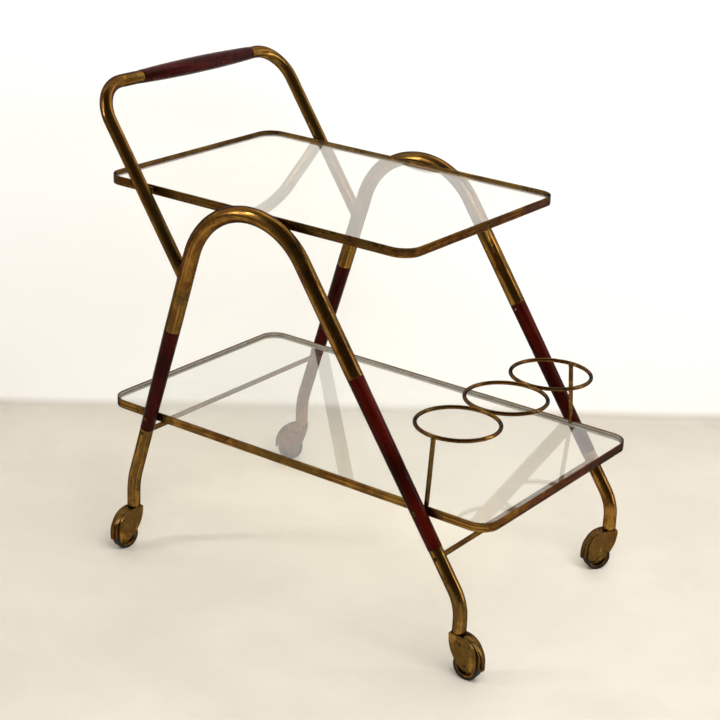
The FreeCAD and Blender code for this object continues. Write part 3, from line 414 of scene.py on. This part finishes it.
# ---- materials
class Nodes:
    """The node tree of a material or a world, with one short call for each kind of node that is used here"""

    def __init__(self, owner):
        self.owner = owner
        owner.use_nodes = True
        self.tree = owner.node_tree
        self.tree.nodes.clear()

    def add(self, kind, inputs=(), **settings):
        """Adds a node. An input that is given a socket is linked to it, and any other gets the value."""
        node = self.tree.nodes.new("ShaderNode" + kind)
        for key, value in settings.items():
            setattr(node, key, value)
        for key, value in dict(inputs).items():
            if isinstance(value, bpy.types.NodeSocket):
                self.tree.links.new(value, node.inputs[key])
            else:
                node.inputs[key].default_value = value
        return node

    def coordinates(self, source, scale=(1, 1, 1), turn=(0, 0, 0)):
        found = self.add("TexCoord").outputs[source]
        return self.add("Mapping", {"Vector": found, "Scale": scale, "Rotation": turn}).outputs[0]

    def noise(self, where, scale, detail, rough, bend=0.0):
        return self.add("TexNoise", {"Vector": where, "Scale": scale, "Detail": detail, "Roughness": rough,
                                     "Distortion": bend}).outputs["Fac"]

    def between(self, value, low, high, start=0.0, stop=1.0):
        """Carries a value from low and high to start and stop, in a smooth step."""
        return self.add("MapRange", {"Value": value, "From Min": low, "From Max": high, "To Min": start,
                                     "To Max": stop}, interpolation_type="SMOOTHSTEP").outputs[0]

    def sums(self, operation, first, second):
        return self.add("Math", {0: first, 1: second}, operation=operation).outputs[0]

    def weighed(self, *pairs):
        """Adds up values, each times its weight."""
        first = self.sums("MULTIPLY", *pairs[0])
        return self.sums("ADD", first, self.weighed(*pairs[1:])) if pairs[1:] else first

    def mixed(self, share, first, second):
        """A share of the second colour over the first."""
        below, above = (value if isinstance(value, bpy.types.NodeSocket) else (*value, 1.0)
                        for value in (first, second))
        return self.add("Mix", {0: share, 6: below, 7: above}, data_type="RGBA").outputs[2]

    def bump(self, height, distance, strength):
        return self.add("Bump", {"Height": height, "Distance": distance, "Strength": strength}).outputs[0]

    def principled(self, inputs):
        shader = self.add("BsdfPrincipled", inputs)
        output = self.add("OutputMaterial", {"Surface": shader.outputs[0]})
        return shader, output

    def where(self, mask, shader, output, other):
        """Shows another shader where the mask is one."""
        joined = self.add("MixShader", {0: mask, 1: shader.outputs[0], 2: other.outputs[0]})
        self.tree.links.new(joined.outputs[0], output.inputs["Surface"])


def aged_brass(name, colours, toned, brown, run=True, rough=(0.14, 0.34), grime=0.0, painted_veil_lining=None):
    """Brass that has toned in patches and along the way it was drawn, with brown spots, fine scratches and
    small dents, and a painted shade that darkens it towards brown where the surface turns away from the
    camera. toned and brown are about the shares of the surface that they cover. Where lining is given, that
    part of the map gets a pale grey painted reflection of the glass's veil."""
    rim = (0.13, 0.065, 0.022, 1.0)
    f = Nodes(bpy.data.materials.new(name))
    body = f.coordinates("Object")
    stretched = f.coordinates("UV", (6, 330, 1)) if run else f.coordinates("Object", (120, 120, 30))
    patches = f.noise(body, 24.0, detail=6.0, rough=0.64, bend=0.6)
    streaks = f.noise(stretched, 1.0, detail=5.0, rough=0.66, bend=0.5)
    toned_from, toned_fade = 0.5 + 0.14 * (0.5 - toned), 0.055
    toning = f.between(f.weighed((patches, 0.45), (streaks, 0.55)), toned_from - toned_fade,
                       toned_from + toned_fade)
    flecks = f.noise(body, 330.0, detail=5.0, rough=0.7, bend=0.3)
    blotch = f.noise(body, 62.0, detail=6.0, rough=0.7, bend=1.1)
    stained_from = 0.56 + 0.18 * (0.4 - brown)
    stains = f.between(f.weighed((blotch, 0.55), (flecks, 0.45)), stained_from, stained_from + 0.08, 0, 0.9)
    greenish = f.between(f.noise(body, 7.0, detail=3.0, rough=0.5, bend=0.8), 0.4, 0.6)
    toned_tint = f.mixed(greenish, colours.brass_aged, colours.brass_olive)
    worn = f.mixed(toning, colours.brass_bright, toned_tint)
    # Painted shade: the colour darkens towards brown where the surface turns away from the camera, so every
    # brass edge looks shaded.
    facing = f.add("LayerWeight", {"Blend": 0.5}).outputs["Facing"]
    painted_edge_shade = f.between(facing, 0.36, 0.86, 0.0, 0.88)
    stains_and_edge_shade = f.mixed(f.sums("MAXIMUM", stains, painted_edge_shade), worn, colours.brass_brown_and_shade)
    fine = f.noise(body, 1000.0, detail=3.0, rough=0.6)
    tint = f.mixed(f.between(fine, 0.36, 0.66, 0.0, 0.45), stains_and_edge_shade, colours.brass_brown_and_shade)
    metal = 1.0
    # Painted reflection: the band's inner face turns a pale, less metallic grey that stands for the veil the
    # glass above reflects over it; blotches vary how much.
    if painted_veil_lining:
        fade = 0.0004
        across = f.add("SeparateXYZ", {0: f.add("TexCoord").outputs["UV"]}).outputs[1]
        inner = f.sums("MULTIPLY", f.between(across, painted_veil_lining[0], painted_veil_lining[0] + fade),
                       f.between(across, painted_veil_lining[1], painted_veil_lining[1] + fade, 1.0, 0.0))
        painted_veil_amount = f.sums("MULTIPLY", inner, f.between(blotch, 0.3, 0.6, 0.95, 0.75))
        tint = f.mixed(painted_veil_amount, tint, colours.painted_veil_lining)
        metal = f.sums("SUBTRACT", 1.0, f.sums("MULTIPLY", painted_veil_amount, 0.8))
    scuffs_at = f.coordinates("UV", (30, 2600, 1)) if run else f.coordinates("Object", (900, 300, 300))
    scuffs = f.noise(scuffs_at, 1.0, detail=3.0, rough=0.7)
    dulled = f.sums("ADD", f.sums("MULTIPLY", stains, 0.18), f.between(scuffs, 0.3, 0.8, -0.03, 0.1))
    gloss = f.sums("ADD", f.between(toning, 0.0, 1.0, rough[0], rough[1] - 0.06), dulled)
    dents = f.noise(body, 34.0, detail=2.0, rough=0.4)
    height = f.weighed((scuffs, 0.00003), (flecks, -0.00008), (dents, 0.00035))
    f.principled({"Base Color": tint, "Metallic": metal, "Roughness": gloss,
                  "Specular Tint": rim, "Coat Weight": 0.16, "Coat Roughness": 0.1,
                  "Normal": f.bump(height, 1.0, 0.55 + grime)})
    return f.owner


def dark_wood(name, colours):
    """Red-brown wood under varnish: grain that runs with the piece, darker pores, a few pale chips."""
    f = Nodes(bpy.data.materials.new(name))
    body = f.coordinates("Object")
    grain = f.noise(f.coordinates("UV", (5.5, 95, 1)), 1.0, detail=6.0, rough=0.62, bend=1.2)
    pores = f.noise(f.coordinates("UV", (55, 1500, 1)), 1.0, detail=3.0, rough=0.6)
    broad = f.noise(body, 13.0, detail=3.0, rough=0.5)
    shade = f.weighed((grain, 0.7), (broad, 0.3))
    base = f.mixed(f.between(shade, 0.36, 0.66), colours.wood_deep, colours.wood_warm)
    pored = f.mixed(f.between(pores, 0.56, 0.74, 0.0, 0.6), base, colours.wood_deep)
    chips = f.between(f.noise(body, 130.0, detail=3.0, rough=0.6, bend=0.5), 0.735, 0.75)
    tint = f.mixed(f.sums("MULTIPLY", chips, 0.8), pored, colours.wood_bare)
    scuffs = f.noise(body, 75.0, detail=5.0, rough=0.65)
    gloss = f.sums("ADD", f.between(scuffs, 0.35, 0.75, 0.24, 0.34), f.sums("MULTIPLY", chips, 0.4))
    height = f.weighed((pores, -0.00003), (chips, -0.0002), (broad, 0.0003))
    f.principled({"Base Color": tint, "Roughness": gloss, "Coat Weight": 0.15, "Coat Roughness": 0.035,
                  "Coat IOR": 1.35, "Specular IOR Level": 0.02, "Normal": f.bump(height, 1.0, 0.6)})
    return f.owner


def clear_glass(name, colours):
    """Old table glass: clear with a faint haze of wipe marks and dust, and open to the lamps' rays."""
    f = Nodes(bpy.data.materials.new(name))
    body = f.coordinates("Object")
    wiped_at = f.coordinates("Object", (9, 26, 9), (0, 0, 0.6))
    wipes = f.noise(wiped_at, 1.0, detail=5.0, rough=0.6, bend=0.8)
    dust = f.noise(body, 420.0, detail=3.0, rough=0.7)
    marks = f.sums("ADD", f.between(wipes, 0.35, 0.75, 0.0, 0.02), f.between(dust, 0.62, 0.8, 0.0, 0.03))
    clear = f.sums("SUBTRACT", 0.99, marks)
    shader, output = f.principled({"Base Color": (*colours.glass_tint, 1.0), "Roughness": marks, "IOR": 1.46,
                                   "Transmission Weight": clear})
    lamp = f.add("LightPath").outputs["Is Shadow Ray"]
    shade = (0.88, 0.885, 0.865, 1.0)
    f.where(lamp, shader, output, f.add("BsdfTransparent", {"Color": shade}))
    return f.owner


def worn_steel(name, colours):
    """Plain steel with a film of grease and brown specks."""
    grease, rust = (0.20, 0.175, 0.15), (0.10, 0.055, 0.03)
    f = Nodes(bpy.data.materials.new(name))
    body = f.coordinates("Object")
    film = f.noise(body, 160.0, detail=5.0, rough=0.6, bend=0.5)
    specks = f.between(f.noise(body, 620.0, detail=4.0, rough=0.7), 0.58, 0.7)
    tint = f.mixed(specks, f.mixed(f.between(film, 0.35, 0.65), colours.steel, grease), rust)
    f.principled({"Base Color": tint, "Metallic": 1.0, "Roughness": f.between(film, 0.3, 0.7, 0.26, 0.5),
                  "Normal": f.bump(film, 0.0002, 0.5)})
    return f.owner


def dusty_rubber(name, colours):
    """Black rubber, scuffed paler where it rolls."""
    scuffed = (0.09, 0.08, 0.07)
    f = Nodes(bpy.data.materials.new(name))
    body = f.coordinates("Object")
    dust = f.noise(body, 210.0, detail=6.0, rough=0.68, bend=0.4)
    tint = f.mixed(f.between(dust, 0.55, 0.75, 0.0, 0.5), colours.rubber, scuffed)
    f.principled({"Base Color": tint, "Roughness": f.between(dust, 0.3, 0.7, 0.5, 0.85),
                  "Specular IOR Level": 0.25, "Normal": f.bump(dust, 0.0003, 0.6)})
    return f.owner


MAKERS = {"dark_wood": dark_wood, "glass": clear_glass, "steel": worn_steel, "rubber": dusty_rubber}


def finish(name):
    """The finish of that name, made when it is first asked for."""
    own_name = "worn_" + name
    known = bpy.data.materials.get(own_name)
    if known:
        return known
    colours = bpy.context.scene.trolley_finish
    if name in BRASS:
        return aged_brass(own_name, colours, **BRASS[name])
    return MAKERS[name](own_name, colours)


# ---- pieces
class TROLLEY_OT_arches(bpy.types.Operator):
    """Bend the two arch tubes that carry the upper tray"""
    bl_idname = "trolley.arches"
    bl_label = "Arch tubes"

    def execute(self, context):
        sizes = context.scene.trolley_sizes
        rise = {end: leg_up(sizes, end) for end in ENDS}
        for side in SIDES:
            ends = {end: leg_point(sizes, end, getattr(sizes, end + "_wood_top"), side) for end in ENDS}
            # The corner is where the two legs' lines would meet, in the plane of the side.
            meeting = np.array([[rise["rear"][0], -rise["front"][0]], [rise["rear"][2], -rise["front"][2]]])
            gap = ends["front"] - ends["rear"]
            climb = np.linalg.solve(meeting, gap[[0, 2]])[0]
            corner = ends["rear"] + rise["rear"] * climb
            line, axis = bent_line(ends["rear"], corner, ends["front"], sizes.arch_radius)
            rows = tube_rows(line, axis, sizes.tube_od / 2, (sizes.tube_edge, sizes.tube_edge), 44)
            make_piece("arch_" + side, [net(rows)], ["arch_tube_" + side], "tube_brass")
        return {"FINISHED"}


class TROLLEY_OT_legs(bpy.types.Operator):
    """Turn the four tapered wooden legs"""
    bl_idname = "trolley.legs"
    bl_label = "Wooden legs"

    def execute(self, context):
        sizes = context.scene.trolley_sizes
        for end in ENDS:
            for side in SIDES:
                foot = leg_point(sizes, end, getattr(sizes, end + "_wood_base"), side)
                head = leg_point(sizes, end, getattr(sizes, end + "_wood_top"), side)
                reach, edge = np.linalg.norm(head - foot), sizes.wood_edge
                heights = np.linspace(edge, reach - edge, 40)
                radii = (sizes.wood_base_od + (sizes.wood_top_od - sizes.wood_base_od) * heights / reach) / 2
                rows = turned_rows(eased_profile(heights, radii, edge), foot, leg_up(sizes, end))
                make_piece(f"wood_{end}_{side}", [net(rows)], [f"leg_wood_{end}_{side}"], "dark_wood")
        return {"FINISHED"}


class TROLLEY_OT_feet(bpy.types.Operator):
    """Bend the four foot tubes down to their casters, with the rods between them"""
    bl_idname = "trolley.feet"
    bl_label = "Feet and cross bars"

    def execute(self, context):
        sizes = context.scene.trolley_sizes
        for end in ENDS:
            up = leg_up(sizes, end)
            for side in SIDES:
                start = leg_point(sizes, end, getattr(sizes, end + "_wood_base"), side)
                stop = np.array([SWIVEL[end], PLANE[side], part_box(f"foot_tube_{end}_{side}")[0].z])
                corner = start + up * (SWIVEL[end] - start[0]) / up[0]
                line, axis = bent_line(start, corner, stop, getattr(sizes, end + "_bend"))
                rows = tube_rows(line, axis, sizes.foot_od / 2, (sizes.tube_edge, sizes.tube_edge), 40)
                make_piece(f"foot_{end}_{side}", [net(rows)], [f"foot_tube_{end}_{side}"], "tube_brass")
            self.stretch_bar(sizes, end, up)
        return {"FINISHED"}

    def stretch_bar(self, sizes, end, up):
        """The rod is the two saddles at its ends, the second one turned to run on from the first."""
        sides = 24
        height = box_middle(end + "_crossbar")[2]
        right, left = (leg_point(sizes, end, height, side) for side in SIDES)
        across = unit(left - right)
        square = np.cross(across, up)
        first, second = (saddle_rows(point, onward, square, sizes.bar_od / 2, up, sizes.foot_od / 2,
                                     sizes.braze, sides)
                         for point, onward in ((right, across), (left, -across)))
        rows = np.concatenate([first, second[::-1][:, (sides // 2 - np.arange(sides)) % sides]])
        make_piece(end + "_bar", [net(rows)], [end + "_crossbar"], "bar_brass")


class TROLLEY_OT_handle(bpy.types.Operator):
    """Bend the handle's two arms and turn the wooden grip between them"""
    bl_idname = "trolley.handle"
    bl_label = "Push handle"

    def execute(self, context):
        sizes = context.scene.trolley_sizes
        low, high = box_corners("handle_grip")
        grip_x, grip_z = (low[0] + high[0]) / 2, (low[2] + high[2]) / 2
        tenon, above_seat, first_station = 0.012, 0.03, 0.034
        shoulders = {"right": low[1] + tenon, "left": high[1] - tenon}
        up = np.array([-math.sin(sizes.handle_lean), 0, math.cos(sizes.handle_lean)])
        for side in SIDES:
            root = leg_point(sizes, "rear", sizes.handle_root, side)
            corner = root + up * (grip_z - root[2]) / up[2]
            stop = np.array([grip_x, shoulders[side], grip_z])
            line, axis = bent_line(root, corner, stop, sizes.handle_bend)
            clear = line[np.linalg.norm(line - root, axis=1) > first_station]
            line = np.concatenate([[root + up * above_seat], clear])
            arm = tube_rows(line, axis, sizes.handle_od / 2, (0, sizes.tube_edge))
            seat = saddle_rows(root, up, axis, sizes.handle_od / 2, leg_up(sizes, "rear"), sizes.tube_od / 2,
                               sizes.braze)
            rows = np.concatenate([seat, arm])
            make_piece("arm_" + side, [net(rows)], ["handle_arm_" + side], "tube_brass")
        self.turn_grip(sizes, [grip_x, shoulders["right"], grip_z], shoulders["left"] - shoulders["right"])
        return {"FINISHED"}

    def turn_grip(self, sizes, start, reach):
        """The grip's side is an arc: its bow is (half² + bulge²) / (2 bulge), and the radius at a station is
        the middle's, less the bow, plus the root of bow² - station²."""
        edge = sizes.wood_edge
        half, bulge = reach / 2 - edge, (sizes.grip_mid_od - sizes.grip_end_od) / 2
        bow = (half ** 2 + bulge ** 2) / (2 * bulge)
        stations = np.linspace(-half, half, 48)
        radii = sizes.grip_mid_od / 2 - bow + np.sqrt(bow ** 2 - stations ** 2)
        rows = turned_rows(eased_profile(stations + reach / 2, radii, edge), start, [0, 1, 0])
        make_piece("grip", [net(rows)], ["handle_grip"], "dark_wood")


class TROLLEY_OT_trays(bpy.types.Operator):
    """Carry the band and ledge round both trays and lay the glass in them"""
    bl_idname = "trolley.trays"
    bl_label = "Trays"

    def execute(self, context):
        sizes = context.scene.trolley_sizes
        for tier in ("upper", "lower"):
            self.bend_band(sizes, tier)
            self.lay_glass(sizes, tier)
        return {"FINISHED"}

    def bend_band(self, sizes, tier):
        low, high = box_corners(tier + "_tray_frame")
        wall, shelf, edge = sizes.band_wall, sizes.band_wall + sizes.ledge_width, 0.0004
        ledge = high[2] - sizes.glass_drop - sizes.glass_depth
        under = ledge - sizes.ledge_depth
        section = [(0, high[2]), (0, low[2]), (-wall, low[2]), (-wall, under), (-shelf, under),
                   (-shelf, ledge), (-wall, ledge), (-wall, high[2])]
        plan = rounded_plan(low, high, sizes.tray_corner)
        rows = carried_rows(plan, sizes.tray_corner, softened(section, edge))
        make_piece(tier + "_band", [net(rows, ring=True)], [tier + "_tray_frame"], "band_brass",
                   tier + "_band_brass", sharp=50.0)

    def lay_glass(self, sizes, tier):
        """The pane's edge is ground round: over a quarter turn it moves out by the sine and down by one
        minus the cosine, and the same again below. Two flat loops inside it keep its faces plane."""
        low, high = box_corners(tier + "_glass")
        corner, edge = sizes.tray_corner - sizes.band_wall, 0.0007
        flat = np.array([-0.02, -0.003])
        top = np.stack([edge * (np.sin(QUARTER) - 1), high[2] - edge * (1 - np.cos(QUARTER))], -1)
        base = np.stack([edge * (np.cos(QUARTER) - 1), low[2] + edge * (1 - np.sin(QUARTER))], -1)
        profile = np.concatenate([np.stack([flat, np.full(2, high[2])], -1), top, base,
                                  np.stack([flat[::-1], np.full(2, low[2])], -1)])
        rows = carried_rows(rounded_plan(low, high, corner), corner, profile).transpose(1, 0, 2)
        make_piece(tier + "_pane", [net(rows)], [tier + "_glass"], "glass")


class TROLLEY_OT_rings(bpy.types.Operator):
    """Bend the three bottle rings and stand their two posts on the lower tray"""
    bl_idname = "trolley.rings"
    bl_label = "Bottle rings"

    def execute(self, context):
        sizes = context.scene.trolley_sizes
        rod = sizes.ring_rod / 2
        radius = box_span("bottle_ring_right", 0) / 2 - rod
        reach = {}
        for side in ("right", "middle", "left"):
            low, high = box_corners("bottle_ring_" + side)
            centre = (low + high) / 2
            if side in SIDES:
                # An outer ring's box is cut short where it is flattened against the middle one.
                centre[1] = low[1] + radius + rod if side == "right" else high[1] - radius - rod
                reach[side] = centre[1] + SIDES[side] * radius
            self.bend_ring(side, centre, radius, rod)
        ring_x, ring_z = box_middle("bottle_ring_middle")[[0, 2]]
        for side in SIDES:
            self.stand_post(sizes, side, np.array([ring_x, reach[side], ring_z]))
        return {"FINISHED"}

    def bend_ring(self, side, centre, radius, rod):
        """Each point is the centre, plus the outward direction times the radius and the rod's cosine, plus
        the rod's sine upwards."""
        rounds = np.linspace(0, 2 * math.pi, 24, endpoint=False)[None, :, None]
        outward = spokes(np.array([1.0, 0, 0]), np.array([0, 1.0, 0]), 120)[:, None]
        rows = centre + outward * (radius + rod * np.cos(rounds)) + UPWARD * rod * np.sin(rounds)
        make_piece("ring_" + side, [net(rows, ring=True)], ["bottle_ring_" + side], "ring_brass")

    def stand_post(self, sizes, side, top):
        lean, seat, met = 0.0023, 0.001, 0.6
        low, high = box_corners("ring_post_" + side)
        band_face = low[1] if side == "right" else high[1]
        thick, bead = sizes.post_od / 2, sizes.braze / 2
        foot = np.array([top[0] + lean, band_face - SIDES[side] * (thick - seat), low[2]])
        brazed = np.linalg.norm(top - foot) - sizes.ring_rod / 2 * met
        profile = [(thick + gain, height) for gain, height in POST_FOOT]
        profile += [(thick + bead * share, brazed + height) for share, height in POST_BEAD]
        rows = turned_rows(profile, foot, top - foot, 28)
        make_piece("post_" + side, [net(rows)], ["ring_post_" + side], "ring_brass")


class TROLLEY_OT_screws(bpy.types.Operator):
    """Turn and slot the eight screws that hold the lower tray and the cross bars"""
    bl_idname = "trolley.screws"
    bl_label = "Screws"

    def execute(self, context):
        sizes = context.scene.trolley_sizes
        slot_turns = np.random.default_rng(5).uniform(0, math.pi, len(SCREWS))
        overlap, point = 0.0001, 0.0005
        for name, turn in zip(SCREWS, slot_turns):
            low, high = box_corners(name)
            outward = SIDES[name.rsplit("_", 1)[1]]
            base = (low + high) / 2
            base[1] = (high[1] if outward > 0 else low[1]) - outward * sizes.screw_head
            turned = np.array([[math.cos(turn), 0, math.sin(turn)], [-math.sin(turn), 0, math.cos(turn)],
                               [0, outward, 0]])
            head = base + slotted_head((high[0] - low[0]) / 2, sizes) @ turned
            reach, thick = high[1] - low[1] - sizes.screw_head, sizes.screw_od / 2
            profile = [(thick, -overlap), (thick, reach - point), (thick * 0.7, reach)]
            shank = turned_rows(profile, base, [0, -outward, 0], 16)
            make_piece("slotted_" + name, [net(head), net(shank)], [name], "screw_brass", sharp=30.0)
        return {"FINISHED"}


class TROLLEY_OT_fittings(bpy.types.Operator):
    """Finish the casters and the tray studs, with the edges of the cast hoods rounded"""
    bl_idname = "trolley.fittings"
    bl_label = "Casters and fittings"

    def execute(self, context):
        for name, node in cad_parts.items():
            if node.hide_render:
                continue
            kind = name.rsplit("_", 2)[0]
            node.data.materials.clear()
            node.data.materials.append(finish("rivet" if kind == "axle" else FITTINGS[kind]))
            weld = node.modifiers.new("Joined", "WELD")
            weld.merge_threshold = 0.00001
            if kind == "hood":
                self.round_edges(node)
        return {"FINISHED"}

    def round_edges(self, node):
        flat = node.modifiers.new("Flat faces", "DECIMATE")
        flat.decimate_type = "DISSOLVE"
        flat.angle_limit = math.radians(1.0)
        rounded = node.modifiers.new("Rounded edges", "BEVEL")
        rounded.width = 0.00035
        rounded.segments = 3
        rounded.limit_method = "ANGLE"
        rounded.angle_limit = math.radians(32)
        rounded.harden_normals = True


# ---- stage
def pose(across, upward, backward, at):
    """The matrix whose columns are three directions and a place."""
    rows = np.stack([across, upward, backward, np.array(at)], 1).tolist()
    return Matrix(rows + [[0, 0, 0, 1]])


class TROLLEY_OT_studio(bpy.types.Operator):
    """Lay the pale floor and backdrop, hang the soft lights and place the camera"""
    bl_idname = "trolley.studio"
    bl_label = "Studio"

    def execute(self, context):
        studio = context.scene.trolley_studio
        self.lay_floor(context, studio)
        self.fill_sky(context, studio)
        self.hang_lamps(context, studio)
        self.place_camera(context, studio)
        context.scene.view_settings.view_transform = "Standard"
        return {"FINISHED"}

    def lay_floor(self, context, studio):
        """The sweep's profile runs along the floor, round a quarter circle and up the backdrop, and is
        carried straight across."""
        near, tall, half_width, radius = -14.0, 3.2, 12, 0.012
        away = np.array([-math.sin(studio.backdrop_turn), math.cos(studio.backdrop_turn), 0])
        aside = np.array([math.cos(studio.backdrop_turn), math.sin(studio.backdrop_turn), 0])
        far = studio.backdrop_far
        turns = np.linspace(0, math.pi / 2, 12)
        bend = np.stack([far - radius + radius * np.sin(turns), radius * (1 - np.cos(turns))], -1)
        profile = np.concatenate([[[near, 0.0]], bend, [[far, tall]]])
        edge = profile[:, :1] * away + profile[:, 1:] * UPWARD
        points = np.concatenate([edge - aside * half_width, edge + aside * half_width])
        count = len(profile)
        i = np.arange(count - 1)
        faces = np.stack([i, i + count, i + count + 1, i + 1], -1)
        mesh = bpy.data.meshes.new("sweep")
        mesh.from_pydata(points.tolist(), [], faces.tolist())
        mesh.shade_smooth()
        mesh.materials.append(self.plain_sweep(studio))
        sweep = bpy.data.objects.new("sweep", mesh)
        context.scene.collection.objects.link(sweep)

    def plain_sweep(self, studio):
        """Pale floor with a faint mottle that turns into the plain backdrop, and is open from behind."""
        f = Nodes(bpy.data.materials.new("sweep"))
        body = f.coordinates("Object")
        height = f.add("SeparateXYZ", {0: body}).outputs[2]
        mottle = f.noise(body, 3.2, detail=7.0, rough=0.62, bend=0.3)
        paler = [min(1.0, value * 1.12) for value in studio.floor]
        ground = f.mixed(f.between(mottle, 0.3, 0.7), studio.floor, paler)
        tint = f.mixed(f.between(height, 0.004, 0.03), ground, studio.backdrop)
        grain = f.noise(body, 60.0, detail=5.0, rough=0.6)
        shader, output = f.principled({"Base Color": tint, "Roughness": 0.6,
                                       "Normal": f.bump(grain, 0.001, 0.25)})
        behind = f.add("NewGeometry").outputs["Backfacing"]
        f.where(behind, shader, output, f.add("BsdfTransparent"))
        return f.owner

    def fill_sky(self, context, studio):
        """Soft light that fades towards the dim side, and a plain backdrop to the camera."""
        dim_side, glow_strength, seen_strength = (0.40, -0.50, 0.50), 0.6, 0.85
        context.scene.world = bpy.data.worlds.new("soft_light")
        f = Nodes(context.scene.world)
        direction = f.add("TexCoord").outputs["Generated"]
        toward = f.add("VectorMath", {0: direction, 1: dim_side}, operation="DOT_PRODUCT")
        fade = f.add("ValToRGB", {0: toward.outputs["Value"]})
        stops = ((0.05, (0.72, 0.715, 0.70)), (0.62, (0.11, 0.10, 0.09)))
        for element, (position, tone) in zip(fade.color_ramp.elements, stops):
            element.position = position
            element.color = (*tone, 1)
        glow = f.add("Background", {0: fade.outputs[0], 1: glow_strength})
        seen = f.add("Background", {0: (*studio.backdrop, 1), 1: seen_strength})
        eye = f.add("LightPath").outputs["Is Camera Ray"]
        either = f.add("MixShader", {0: eye, 1: glow.outputs[0], 2: seen.outputs[0]})
        f.add("OutputWorld", {0: either.outputs[0]})

    def hang_lamps(self, context, studio):
        """Each lamp faces a point over the trolley's middle, and mirrored says if the metal shows it."""
        aim, tint = np.array([0, 0, 0.35]), (1.0, 0.985, 0.965)
        lamps = (("key", studio.key_power, (2.2, 2.2), (1.35, -0.75, 2.35), False),
                 ("panel", studio.panel_power, (0.28, 1.7), (1.75, 0.95, 0.95), True),
                 ("strip", studio.strip_power, (0.12, 1.3), (-1.35, -1.5, 1.5), True))
        for name, watts, (wide, tall), at, mirrored in lamps:
            data = bpy.data.lights.new(name, "AREA")
            data.energy, data.shape, data.size, data.size_y = watts, "RECTANGLE", wide, tall
            data.color = tint
            lamp = bpy.data.objects.new(name, data)
            lamp.visible_glossy = mirrored
            lamp.visible_camera = False
            context.scene.collection.objects.link(lamp)
            away = unit(np.array(at) - aim)
            first = unit(np.cross(UPWARD, away))
            lamp.matrix_world = pose(first, np.cross(away, first), away, at)

    def place_camera(self, context, studio):
        yaw, pitch, roll = studio.yaw, studio.pitch, studio.roll
        ahead = math.cos(pitch)
        sight = np.array([-math.sin(yaw) * ahead, math.cos(yaw) * ahead, -math.sin(pitch)])
        level = np.array([math.cos(yaw), math.sin(yaw), 0])
        upright = np.cross(level, sight)
        across = math.cos(roll) * level + math.sin(roll) * upright
        upward = -math.sin(roll) * level + math.cos(roll) * upright
        data = bpy.data.cameras.new("camera")
        data.lens = studio.lens
        data.clip_start, data.clip_end = 0.05, 60
        camera = bpy.data.objects.new("camera", data)
        context.scene.collection.objects.link(camera)
        camera.matrix_world = pose(across, upward, -sight, studio.camera_at)
        context.scene.camera = camera


PIECES = (TROLLEY_OT_arches, TROLLEY_OT_legs, TROLLEY_OT_feet, TROLLEY_OT_handle, TROLLEY_OT_trays,
          TROLLEY_OT_rings, TROLLEY_OT_screws, TROLLEY_OT_fittings, TROLLEY_OT_studio)
GROUPS = {"trolley_sizes": TrolleySizes, "trolley_finish": TrolleyFinish, "trolley_studio": TrolleyStudio}


class TROLLEY_PT_panel(bpy.types.Panel):
    """The trolley's pieces, sizes and colours"""
    bl_idname = "TROLLEY_PT_panel"
    bl_label = "Dessert trolley"
    bl_space_type = "VIEW_3D"
    bl_region_type = "UI"
    bl_category = "Trolley"

    def draw(self, context):
        for operator in PIECES:
            self.layout.operator(operator.bl_idname)
        for name, group in GROUPS.items():
            column = self.layout.column()
            for prop in group.__annotations__:
                column.prop(getattr(context.scene, name), prop)


def register():
    for each in (*GROUPS.values(), *PIECES, TROLLEY_PT_panel):
        bpy.utils.register_class(each)
    for name, group in GROUPS.items():
        setattr(bpy.types.Scene, name, bpy.props.PointerProperty(type=group))


def unregister():
    for name in GROUPS:
        delattr(bpy.types.Scene, name)
    for each in reversed((*GROUPS.values(), *PIECES, TROLLEY_PT_panel)):
        bpy.utils.unregister_class(each)


def main():
    register()
    for operator in PIECES:
        getattr(bpy.ops.trolley, operator.bl_idname.split(".")[1])()


if __name__ == "__main__":
    main()
